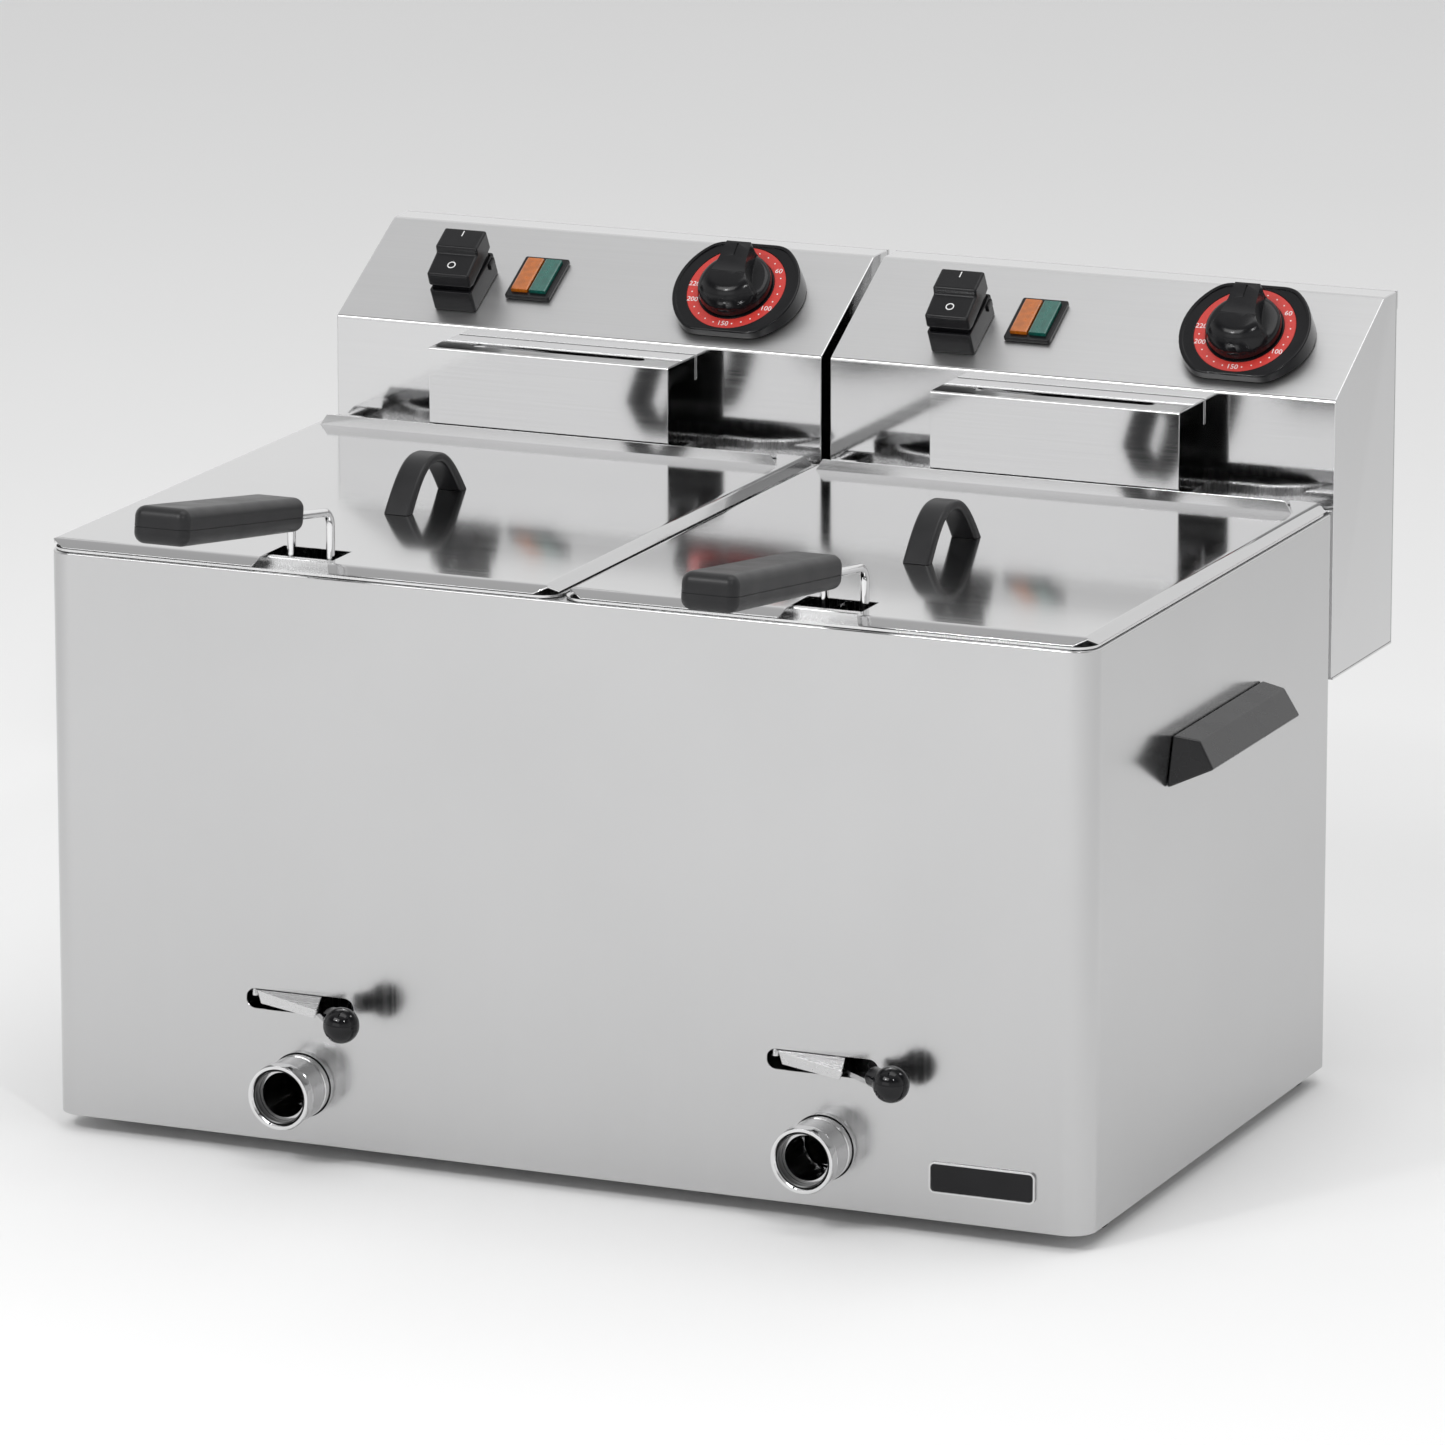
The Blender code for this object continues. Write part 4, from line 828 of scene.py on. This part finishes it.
def lid_handle(side):
    """Moulded strap in a pointed arch with rounded edges, thickest at its feet."""
    node = f"lid_handle_{side}"
    low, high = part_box(node)
    half, rise, width = (high[1] - low[1]) / 2, high[2] - low[2], high[0] - low[0]
    foot, crown = 0.0075, 0.0048
    centre = centre_of(node)
    centre.z = low[2]
    steps = 40
    rings = []
    for i in range(steps + 1):
        share = 2 * i / steps - 1
        bulge = math.cos(math.pi / 2 * abs(share) ** 1.15)
        outer = Vector((half * share, rise * bulge))
        inner = Vector(((half - foot) * share, (rise - crown) * bulge))
        mid, reach = (outer + inner) / 2, (outer - inner) / 2
        section = rounded_rectangle(width, 2 * reach.length, 0.0019, 5)
        up = reach.normalized()
        rings.append([centre + Vector((a, mid.x + up.x * b, mid.y + up.y * b)) for a, b in section])
    shown(solid(f"lid_strap_{side}", skin(rings)), BLACK, f"lid_unit_{side}", node, sharp_deg=50)


# ---- Basket ----
GRIP_TILT = {"left": 8.6, "right": 7.1}  # degrees that a grip rises towards the front
WIRE_RADIUS = 0.0022
SEAM_DEPTH = 0.0005


def basket(side):
    """Welded wire basket: a rim, a lower frame and a close mesh of thin wires."""
    node, body = f"basket_{side}", f"basket_unit_{side}"
    low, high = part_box(node)
    centre = centre_of(node)
    width, length = high[0] - low[0], high[1] - low[1]
    rim, thin, pitch, corner = 0.0022, 0.0008, 0.0100, 0.0150

    def ring(inset, z):
        outline = rounded_rectangle(width - 2 * inset, length - 2 * inset, corner - inset, 6)
        return [Vector((centre.x + x, centre.y + y, z)) for x, y in outline]

    hoops = [ring(rim, high[2] - rim), ring(rim + 0.0010, centre.z), ring(0.0060, low[2] + 0.0060)]
    shown(wires(f"basket_frame_{side}", hoops, rim, 3, True), CHROME, body, node)

    inset, floor = 2 * rim, low[2] + 0.0036
    routes = []
    for axis in (0, 1):
        start, stop = low[1 - axis] + corner, high[1 - axis] - corner
        count = round((stop - start) / pitch)
        for i in range(count + 1):
            across = start + (stop - start) * i / count
            near, far = low[axis] + inset, high[axis] - inset
            route = []
            for run, z in ((near, high[2] - rim), (near, floor), (far, floor), (far, high[2] - rim)):
                route.append((run, across, z) if axis == 0 else (across, run, z + 2 * thin))
            routes.append(filleted(route, 0.0080, 3))
    shown(wires(f"basket_mesh_{side}", routes, thin, 1), CHROME, body)
    count = round((high[2] - low[2] - 0.02) / pitch)
    bands = [ring(inset + 2 * thin, low[2] + 0.0130 + pitch * i) for i in range(count)]
    shown(wires(f"basket_bands_{side}", bands, thin, 1, True), CHROME, body)


def handle_wire(side):
    """The bright wire that joins the basket to its grip."""
    node = f"basket_handle_wire_{side}"
    low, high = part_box(node)
    radius, tilt = WIRE_RADIUS, math.radians(GRIP_TILT[side])
    left, right, up = low[0] + radius, high[0] - radius, high[1] - radius
    slope = math.tan(tilt)
    end = low[1] + 0.0003
    top = high[2] - radius / math.cos(tilt) - 0.0001
    bend = top - (up - end) * slope
    corners = [(end, top), (up, bend), (up, low[2] + radius)]
    route = [(left, y, z) for y, z in corners] + [(right, y, z) for y, z in reversed(corners)]
    wire = wires(f"handle_wire_{side}", [filleted(route, 0.0080, 8)], radius, 5)
    shown(wire, CHROME, f"basket_unit_{side}", node)


def basket_grip(side):
    """Moulded grip: a rounded body, thicker at its tip, with a parting line and two wire sockets."""
    node = f"basket_grip_{side}"
    low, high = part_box(node)
    tilt = math.radians(GRIP_TILT[side])
    length, width, height, edge = 0.1340, high[0] - low[0], 0.0178, 0.0054
    lift = height / 2 * math.cos(tilt)
    spot = Vector(((low[0] + high[0]) / 2, high[1] - height / 2 * math.sin(tilt), low[2] + lift))
    axes = Matrix.Translation(spot) @ Matrix.Rotation(-tilt, 4, "X")
    rings = []
    rounding = [(edge * (1 - a), edge * (1 - b)) for a, b in arc((0, 0), 1.0, 0, 90, 8)]
    for depth, inset in rounding:
        rings.append(grip_ring(width, height * 0.95, depth, inset, edge))
    rings.append(grip_ring(width, height, 0.0700, 0, edge))
    for depth, inset in reversed(rounding):
        rings.append(grip_ring(width, height * 1.04, length - depth, inset, edge))
    grip = solid(f"grip_moulding_{side}", skin(rings), axes)
    for x in (-0.0107, 0.0107):
        cut(grip, rod(0.0026, -0.01, 0.030, 24), axes @ tilted((x, 0, 0), 90))
    seam = solid("tool", box_bmesh((-width, -length - 0.01, -0.0012), (width, -0.0060, -0.0009)), axes)
    inside, deep = width / 2 - SEAM_DEPTH, length - SEAM_DEPTH
    cut(seam, prism_bmesh((-inside, -deep, -0.003), (inside, 0.01, 0.001), edge, 6), axes)
    boolean(grip, seam)
    shown(grip, GRIP_BLACK, f"basket_unit_{side}", node, sharp_deg=45)


def grip_ring(width, height, depth, inset, edge):
    """A rounded section of the grip at a distance from its back end."""
    outline = rounded_rectangle(width - 2 * inset, height - 2 * inset, max(edge - inset, 0.0004), 6)
    return [(x, -depth, z) for x, z in outline]


# ---- Control head ----
SWITCH = (-0.0744, 0.0280)  # across and up the sloped panel
LAMP = (-0.0378, 0.0402)
PANEL_ROOM = (0.0110, 0.0150)  # half the width and length of the opening behind a switch or a lamp
TERMINAL_HEIGHT = 0.3260  # where the element's tube comes out of the head
TERMINAL_REACH = 0.0300
HANGER_HALF = 0.0600
COVER_SLOT = (0.0495, 0.3130, 0.3205)  # half its length, and the depths of its two edges
TUBE_RADIUS = 0.0032


def folded_shell(name, side, half, outline, bend):
    """A sheet folded along an outline of (depth, z) points and open at its ends."""
    bm = bmesh.new()
    rows = [[bm.verts.new(place(side, x, depth, z)) for depth, z in outline] for x in (-half, half)]
    for i in range(len(outline) - 1):
        bm.faces.new((rows[0][i], rows[0][i + 1], rows[1][i + 1], rows[1][i]))
    round_edges(bm, [edge for edge in bm.edges if len(edge.link_faces) == 2], bend, 5)
    return solid(name, bm)


def head_shell(side):
    """Sloped head of folded sheet with welded ends, open behind and below, and its hanger lip."""
    node = f"head_shell_{side}"
    low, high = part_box(node)
    half = (high[0] - low[0]) / 2
    back, bottom = high[1] - FRONT, float(low[2])
    outline = [(HEAD_FRONT, bottom), (HEAD_FRONT, HEAD_BEND), (HEAD_TOP_FRONT, HEAD_TOP), (back, HEAD_TOP),
               (back, bottom)]
    bm = bmesh.new()
    loops = []
    for x in (-half, half):
        loops.append([bm.verts.new(place(side, x, depth, z)) for depth, z in outline])
    for i in range(len(outline) - 2):
        bm.faces.new((loops[0][i], loops[0][i + 1], loops[1][i + 1], loops[1][i]))
    bm.faces.new(loops[0])
    bm.faces.new(loops[1])
    bmesh.ops.recalc_face_normals(bm, faces=bm.faces)
    folds = [edge for edge in bm.edges if len(edge.link_faces) == 2]
    round_edges(bm, [edge for edge in folds if along(edge, 0)], 0.0014, 5)
    ends = [edge for edge in bm.edges if len(edge.link_faces) == 2 and edge.calc_face_angle(0) > 1.0]
    round_edges(bm, ends, 0.0007, 3)
    shell = thicken(solid(f"head_sheet_{side}", bm), SHEET)
    rest = float(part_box(f"tank_{side}")[1][2]) + 0.0004
    add(shell, box_bmesh(place(side, -HANGER_HALF, 0.3215, rest),
                         place(side, HANGER_HALF, HEAD_FRONT + SHEET * 0.6, rest + 0.0012)))
    cut(shell, rod(0.0080, -0.03, 0.01), joint_frame(f"knob_{side}_turn"))
    across, up = PANEL_ROOM
    for spot in (SWITCH, LAMP):
        cut(shell, box_bmesh((-across, -up, -THROUGH), (across, up, THROUGH)), panel_frame(side, *spot))
    for x in (-TERMINAL_REACH, TERMINAL_REACH):
        cut(shell, rod(0.0042, -THROUGH, THROUGH), tilted(place(side, x, HEAD_FRONT, TERMINAL_HEIGHT), 90))
    shown(shell, HEAD_STEEL, f"head_{side}", node)


def element_cover(side):
    """Folded cover over the risers, with a long round-ended slot."""
    node = f"element_cover_{side}"
    low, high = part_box(node)
    half = (high[0] - low[0]) / 2
    front, back = low[1] - FRONT, high[1] - FRONT
    outline = [(front, float(low[2])), (front, float(high[2])), (back, float(high[2])), (back, 0.3390)]
    cover = thicken(folded_shell(f"cover_sheet_{side}", side, half, outline, 0.0013), SHEET)
    reach, near, far = COVER_SLOT
    cut(cover, prism_bmesh(place(side, -reach, near, high[2] - THROUGH),
                           place(side, reach, far, high[2] + THROUGH), (far - near) / 2 - 0.00001, 8))
    shown(soften(cover, 0.00015, 2, 60), HEAD_STEEL, f"head_{side}", node)


def heating_element(side):
    """Sheathed tube: down from the head, and round the tank's floor in four runs."""
    node = f"heating_element_{side}"
    floor = float(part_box(node)[0][2]) + TUBE_RADIUS
    inner, outer, deep, fore = TERMINAL_REACH, 0.0900, 0.3090, 0.0500
    half = [(inner, 0.3520, TERMINAL_HEIGHT), (inner, deep, TERMINAL_HEIGHT), (inner, deep, floor),
            (outer, deep, floor), (outer, fore, floor), (inner, fore, floor), (inner, 0.2600, floor)]
    corners = [place(side, x, depth, z) for x, depth, z in half]
    corners += [place(side, -x, depth, z) for x, depth, z in reversed(half)]
    tube = wires(f"element_tube_{side}", [filleted(corners, 0.0120, 8)], TUBE_RADIUS, 4)
    shown(tube, SHEATH, f"head_{side}", node)


def dial_outline(radius, flat, steps=16):
    """Round at the sides, with a flat above and below and rounded corners between them."""
    limit = math.degrees(math.asin(flat / radius)) - 9
    across = math.sqrt(radius ** 2 - flat ** 2) - 0.0050
    points = arc((0, 0), radius, -limit, limit, steps)
    start, end = Vector(points[-1]), Vector((across, flat))
    corner = Vector((across + 0.0055, flat))
    bend = [start.lerp(corner, t).lerp(corner.lerp(end, t), t) for t in (0.2, 0.4, 0.6, 0.8, 1.0)]
    quarter = [(point.x, point.y) for point in bend]
    upper = points + quarter + [(-x, y) for x, y in reversed(quarter)]
    lower = [(-x, y) for x, y in reversed(points)]
    return upper + lower + [(-x, -y) for x, y in quarter] + [(x, -y) for x, y in reversed(quarter)]


DIAL_NUMBERS = (  # the number, its degrees from the top and the dots before it
    (60, 57, 3), (100, 120, 4), (150, 180, 4), (200, 246, 4), (220, 271, 1),
)
DIAL_RIM = (0.0347, 0.0295)  # the plate's outer radius, and from its middle to a flat
DIAL_POCKET = (0.0325, 0.0273)
SCALE = (0.0207, 0.0268)  # the inner and outer radii of the red ring
SCALE_GAP = 0.0001
DOT_REACH = 0.0240
NUMBER_REACH = 0.0238
NUMBER_SIZE = 0.0042
INK_LEVEL = -0.00022


def dial_plate(side):
    """Wedge-shaped plate that turns the dial to the user, with a raised rim, and its red scale."""
    node, body = f"dial_plate_{side}", f"head_{side}"
    face = joint_frame(f"knob_{side}_turn")
    plate = solid(f"dial_bezel_{side}", extruded(dial_outline(*DIAL_RIM), -0.0300, 0.0007), face)
    cut(plate, box_bmesh((-0.20, -0.10, -0.10), (0.20, 0.20, 0.0003)), panel_frame(side, 0, 0))
    soften(plate, 0.0009, 4, 45)
    cut(plate, extruded(dial_outline(*DIAL_POCKET), 0.0, THROUGH), face)
    inner, outer = SCALE
    cut(plate, rod(outer + SCALE_GAP, -0.0008, THROUGH, 96, inner - SCALE_GAP), face)
    cut(plate, rod(0.0040, -0.05, THROUGH), face)
    shown(soften(plate, 0.0002, 2, 60), GLOSS, body, node)

    scale = turned([(inner, -0.0009), (outer, -0.0009), (outer, -0.0004), (outer - 0.0002, -0.0002),
                    (inner + 0.0002, -0.0002), (inner, -0.0004)], 96)
    shown(solid(f"dial_scale_{side}", scale, face), RED, body)


def dial_marks(side):
    """White dots and upright numbers round the scale."""
    face = joint_frame(f"knob_{side}_turn")
    marks = []
    before = 0
    for number, degrees, dots in DIAL_NUMBERS:
        for i in range(dots):
            angle = before + (degrees - before) * (i + 1) / (dots + 1)
            marks.append(solid("mark", rod(0.00042, 0.0, 0.00006, 12), dial_spot(face, DOT_REACH, angle)))
        marks.append(numeral(dial_spot(face, NUMBER_REACH, degrees), str(number)))
        before = degrees
    shown(joined(f"dial_marks_{side}", marks), WHITE, f"head_{side}")


def dial_spot(face, reach, degrees):
    """A place on the dial, by its distance from the middle and its clockwise angle from the top."""
    angle = math.radians(90 - degrees)
    return face @ Matrix.Translation((reach * math.cos(angle), reach * math.sin(angle), INK_LEVEL))


def numeral(spot, text):
    """An upright number in thin raised ink."""
    curve = bpy.data.curves.new("mark", "FONT")
    curve.body = text
    curve.size = NUMBER_SIZE
    curve.align_x = "CENTER"
    curve.align_y = "CENTER"
    curve.extrude = 0.00003
    curve.resolution_u = 3
    return applied(link("mark", curve, spot))


def joined(name, objects):
    """One mesh object from several."""
    bm = bmesh.new()
    for obj in objects:
        part = obj.data.copy()
        part.transform(obj.matrix_world)
        bm.from_mesh(part)
        bpy.data.objects.remove(obj, do_unlink=True)
    return solid(name, bm)


KNOB_TOP = 0.0155
KNOB_FOOT = 0.0045
KNOB_RADIUS = 0.0198
KNOB_STATIONS = (  # along the pointer: half the bar's width at its top and at its foot
    (-0.0192, 0.0028, 0.0036), (-0.0178, 0.0066, 0.0082), (-0.0160, 0.0090, 0.0114),
    (-0.0135, 0.0110, 0.0142), (-0.0105, 0.0121, 0.0163), (-0.0075, 0.0121, 0.0174),
    (-0.0045, 0.0111, 0.0168), (-0.0010, 0.0094, 0.0142), (0.0030, 0.0084, 0.0122),
    (0.0080, 0.0077, 0.0106), (0.0130, 0.0074, 0.0096), (0.0172, 0.0071, 0.0086), (0.0185, 0.0068, 0.0078),
)
HOLLOW_SIDE = ((1.0, 0.0), (0.46, 0.10), (0.18, 0.30), (0.05, 0.62), (0.0, 1.0))  # shares out and up
DOMED_SIDE = ((1.0, 0.0), (0.90, 0.34), (0.68, 0.62), (0.38, 0.84), (0.0, 1.0))


def knob_bar():
    """The knob's broad bar: domed sides at its front that run into hollow ones under its pointer."""
    rise = KNOB_TOP - KNOB_FOOT
    rings = []
    for y, head, base in KNOB_STATIONS:
        blend = min(max((y + 0.0120) / 0.0100, 0.0), 1.0)
        half = []
        for (out_a, up_a), (out_b, up_b) in zip(DOMED_SIDE, HOLLOW_SIDE):
            out, up = out_a + (out_b - out_a) * blend, up_a + (up_b - up_a) * blend
            half.append((head + (base - head) * out, KNOB_FOOT + rise * up))
        rings.append([(x, y, z) for x, z in half] + [(-x, y, z) for x, z in reversed(half)])
    return skin(rings)


def dial_knob(side):
    """Round skirt with a broad bar: flat on top, hollow at its sides and round at its front, with a slot."""
    face = joint_frame(f"knob_{side}_turn")
    radius = KNOB_RADIUS
    skirt = [(0.0, 0.0008), (radius - 0.0002, 0.0008), (radius, 0.0014), (radius, 0.0036),
             (radius - 0.0003, 0.0048), (0.0186, 0.0058), (0.0170, 0.0064), (0.0, 0.0066)]
    knob = solid(f"dial_knob_{side}", turned(skirt, 96), face)
    dome = [(0.0, 0.0), (radius, 0.0), (radius, 0.0036), (0.0193, 0.0066), (0.0182, 0.0094), (0.0166, 0.0118),
            (0.0147, 0.0136), (0.0125, 0.0148), (0.0100, 0.0154), (0.0, 0.0156)]
    room = solid("tool", turned(dome, 96), face)
    add(room, box_bmesh((-0.0130, -0.0010, 0.0), (0.0130, 0.0200, 0.0200)), face)
    bar = boolean(solid("tool", knob_bar(), face), room, "INTERSECT")
    boolean(knob, soften(bar, 0.0005, 3, 35), "UNION")
    cut(knob, prism_bmesh((-0.0004, 0.0094, 0.0148), (0.0004, 0.0172, 0.02), 0.0003, 3), face)
    cut(knob, rod(0.0034, -0.01, 0.0125, 24), face)
    shown(knob, KNOB_BLACK, f"dial_knob_{side}", f"knob_{side}", sharp_deg=38)


SWITCH_SIZE = (0.0240, 0.0340)  # its width and length
ROCKER_AXIS = 0.0100  # its height over the panel
ROCKER_TILT = 7
LAMP_SIZE = (0.0254, 0.0324)
LENS_OFFSET = 0.0052
LENS_HALF = (0.0046, 0.0128)  # half a lens's width and length
LENS_GAP = 0.0003
LENS_RIBS = 8


def switch_housing(side):
    """The switch's housing, with a lug on each side and a well for the rocker."""
    axes = panel_frame(side, *SWITCH)
    half, reach = SWITCH_SIZE[0] / 2, SWITCH_SIZE[1] / 2
    block = prism_bmesh((-half, -reach, 0.0003), (half, reach, 0.0132), 0.0016, 4)
    housing = soften(solid(f"switch_body_{side}", block, axes), 0.0005, 2, 50)
    for x, y in ((-half - 0.0002, -0.0105), (half + 0.0002, 0.0085)):
        lug = box_bmesh((x - 0.0009, y, 0.0082), (x + 0.0009, y + 0.0060, 0.0122))
        boolean(housing, soften(solid("tool", lug, axes), 0.0004, 2, 50), "UNION")
    wide, long = half - 0.0010, reach - 0.0014
    cut(housing, prism_bmesh((-wide, -long, 0.0050), (wide, long, 0.03), 0.0010, 3), axes)
    add(housing, box_bmesh((-0.0105, -0.0145, -0.0200), (0.0105, 0.0145, 0.0030)), axes)
    shown(housing, SWITCH_BLACK, f"head_{side}", f"switch_housing_{side}", sharp_deg=40)


def switch_rocker(side):
    """The rocker: a wide cap with a raised block, its narrower base, and the marks for on and off."""
    node, body = f"switch_rocker_{side}", f"rocker_{side}"
    axes = panel_frame(side, *SWITCH) @ tilted((0, 0, ROCKER_AXIS), ROCKER_TILT)
    half = SWITCH_SIZE[0] / 2
    cap = [(-0.0150, 0.0074), (-0.0134, 0.0150), (0.0018, 0.0152), (0.0031, 0.0188), (0.0180, 0.0174),
           (0.0166, 0.0060), (0.0120, 0.0056), (-0.0110, 0.0056)]
    base = [(-0.0138, 0.0080), (0.0138, 0.0080), (0.0138, -0.0006), (0.0040, -0.0036), (-0.0040, -0.0036),
            (-0.0138, -0.0006)]
    rocker = soften(solid(body, drawn_out(cap, half), axes), 0.0013, 5, 20)
    add(rocker, drawn_out(base, half - 0.0014), axes)
    shown(rocker, SWITCH_BLACK, body, node, sharp_deg=40)
    ring = rod(0.0023, 0.0, 0.00012, 32, 0.0017)
    off = solid("mark", ring, axes @ tilted((0, -0.0062, 0.01506), 0.8))
    bar = prism_bmesh((-0.00028, -0.0021, 0.0), (0.00028, 0.0021, 0.00012), 0.00025, 3)
    on = solid("mark", bar, axes @ tilted((0, 0.0140, 0.01776), -5.4))
    shown(joined(f"rocker_marks_{side}", [off, on]), WHITE, body)


def drawn_out(outline, half):
    """A (y, z) outline drawn out to both sides along X."""
    return skin([[(x, y, z) for y, z in outline] for x in (-half, half)])


def lamp(side):
    """Double pilot lamp: a bezel and two ribbed lenses."""
    body = f"head_{side}"
    axes = panel_frame(side, *LAMP)
    half, reach = LAMP_SIZE[0] / 2, LAMP_SIZE[1] / 2
    block = prism_bmesh((-half, -reach, 0.0003), (half, reach, 0.0030), 0.0012, 4)
    bezel = soften(solid(f"lamp_frame_{side}", block, axes), 0.0007, 3, 50)
    add(bezel, box_bmesh((-0.0105, -0.0145, -0.0160), (0.0105, 0.0145, 0.0015)), axes)
    lenses = (("amber", -LENS_OFFSET, AMBER), ("green", LENS_OFFSET, GREEN))
    width = LENS_HALF[0] + LENS_GAP
    length = LENS_HALF[1] + LENS_GAP
    for _, x, _ in lenses:
        cut(bezel, prism_bmesh((x - width, -length, -0.0043), (x + width, length, 0.02), 0.0005, 2), axes)
    shown(bezel, GLOSS, body, f"lamp_bezel_{side}")
    for colour, x, material in lenses:
        glass = solid(f"lens_{colour}_{side}", lens_bmesh(x), axes)
        shown(glass, material, body, f"lamp_{colour}_{side}", sharp_deg=60)


def lens_bmesh(x):
    """A lens with shallow ridges along it."""
    half, reach = LENS_HALF
    run = half - 0.0004
    pitch = 2 * run / LENS_RIBS
    outline = [(-half, -0.0040), (-half, 0.0046)]
    for i in range(LENS_RIBS):
        for share in (0.15, 0.5, 0.85):
            outline.append((-run + pitch * (i + share), 0.0047 + 0.0003 * math.sin(math.pi * share)))
    outline += [(half, 0.0046), (half, -0.0040)]
    return skin([[(x + a, y, b) for a, b in outline] for y in (-reach, reach)])


def cable_gland(side):
    """Ribbed strain relief."""
    node = f"cable_gland_{side}"
    low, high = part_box(node)
    spot = centre_of(node)
    start, end = low[1], high[1]
    profile = [(0.0045, end), (0.0066, end), (0.0072, end - 0.0006)]
    for i in range(3):
        edge = end - 0.0012 - i * 0.0026
        rim = 0.0078 + i * 0.0003
        profile += [(rim, edge), (rim, edge - 0.0016), (0.0070, edge - 0.0018), (0.0070, edge - 0.0024)]
    profile += [(0.0085, start + 0.0055), (0.0106, start + 0.0052), (0.0110, start + 0.0046),
                (0.0110, start), (0.0045, start)]
    gland = solid(f"gland_{side}", turned(profile, 32), tilted((spot.x, 0, spot.z), -90))
    shown(gland, BLACK, f"head_{side}", node)


def carried_over():
    """CAD nodes whose shape is kept, with finer materials and rounded edges."""
    looks = {"bottom_plate": SATIN}
    for side in SIDES:
        looks[f"head_back_cover_{side}"] = HEAD_STEEL
        looks[f"drain_ball_{side}"] = CHROME
        looks[f"thermostat_{side}"] = BLACK
    for name, material in looks.items():
        node = frame["nodes"][name]
        for slot in node.material_slots:
            slot.material = material
        edge = node.modifiers.new("soften", "BEVEL")
        edge.width = 0.0002
        edge.segments = 2
        edge.limit_method = "ANGLE"
        edge.angle_limit = math.radians(50)


# ---- Stage ----
CAMERA_AZIMUTH = 23.34
CAMERA_ELEVATION = 13.72
CAMERA_DISTANCE = 4.90
CAMERA_AIM = Vector((0.020, 0.010, 0.205))
CAMERA_LENS = 242.5


def look_from(azimuth, elevation, distance, aim):
    """A matrix at a distance from a point, looking at it."""
    turn = Matrix.Rotation(math.radians(azimuth), 4, "Z") @ tilted((0, 0, 0), 90 - elevation)
    return Matrix.Translation(aim) @ turn @ Matrix.Translation((0, 0, distance))


def camera():
    data = bpy.data.cameras.new("view")
    data.lens = CAMERA_LENS
    data.sensor_width = 36.0
    data.clip_end = 60.0
    obj = link("view", data, look_from(CAMERA_AZIMUTH, CAMERA_ELEVATION, CAMERA_DISTANCE, CAMERA_AIM))
    bpy.context.scene.camera = obj


def lamp_at(name, azimuth, elevation, distance, size, power):
    data = bpy.data.lights.new(name, "AREA")
    data.shape = "RECTANGLE"
    data.size, data.size_y = size
    data.energy = power
    return link(name, data, look_from(azimuth, elevation, distance, Vector((0, 0, 0.2))))


def studio():
    """Pale floor, even sky and large soft lights."""
    bm = bmesh.new()
    bmesh.ops.create_grid(bm, x_segments=1, y_segments=1, size=30.0)
    floor = solid("studio_floor", bm)
    material, tree, shader = new_shader("studio_floor", (0.86, 0.86, 0.86), 0.0, 0.9)
    mottle = noise(tree, 1.5, 2.0)
    colour = mixed(tree, ramp(tree, mottle, 0.3, 0.7), (0.86, 0.86, 0.86), (0.85, 0.85, 0.85))
    tree.links.new(colour, shader.inputs["Base Color"])
    floor.data.materials.append(material)

    world = bpy.data.worlds.new("studio")
    bpy.context.scene.world = world
    world.use_nodes = True
    tree = world.node_tree
    coordinates = tree.nodes.new("ShaderNodeTexCoord")
    split = tree.nodes.new("ShaderNodeSeparateXYZ")
    tree.links.new(coordinates.outputs["Generated"], split.inputs[0])
    zenith = ramp(tree, split.outputs["Z"], 0.70, 0.95)
    raised = ramp(tree, split.outputs["Z"], 0.30, 0.50)
    behind = ramp(tree, split.outputs["Y"], -0.35, 0.25)
    front = mixed(tree, raised, (0.75, 0.75, 0.75), (0.18, 0.18, 0.18))
    around = mixed(tree, behind, front, (0.95, 0.95, 0.95))
    sky = mixed(tree, zenith, around, (0.66, 0.66, 0.66))
    background = tree.nodes["Background"]
    tree.links.new(sky, background.inputs["Color"])
    background.inputs["Strength"].default_value = 1.0
    lamp_at("overhead", 100, 80, 3.0, (2.0, 2.0), 24)
    lamp_at("front", -12, 15, 3.6, (2.8, 1.1), 6.0)
    lamp_at("floor_front", -20, 43, 3.4, (2.2, 1.0), 30)
    lamp_at("left_softbox", -18, 38, 2.6, (0.16, 0.16), 7.0)
    lamp_at("right_softbox", 42, 38, 2.6, (0.16, 0.16), 7.0)
    bpy.context.scene.view_settings.view_transform = "Standard"


def build():
    casing()
    badge()
    for side in SIDES:
        for row in ("front", "rear"):
            foot(row, side)
        for piece in (side_handle, tank, tap_body, tap_collar, drain_lever, latch, lid, lid_handle, basket,
                      handle_wire, basket_grip, head_shell, element_cover, heating_element, dial_plate,
                      dial_marks, dial_knob, switch_housing, switch_rocker, lamp, cable_gland):
            piece(side)
    carried_over()


build()
camera()
studio()
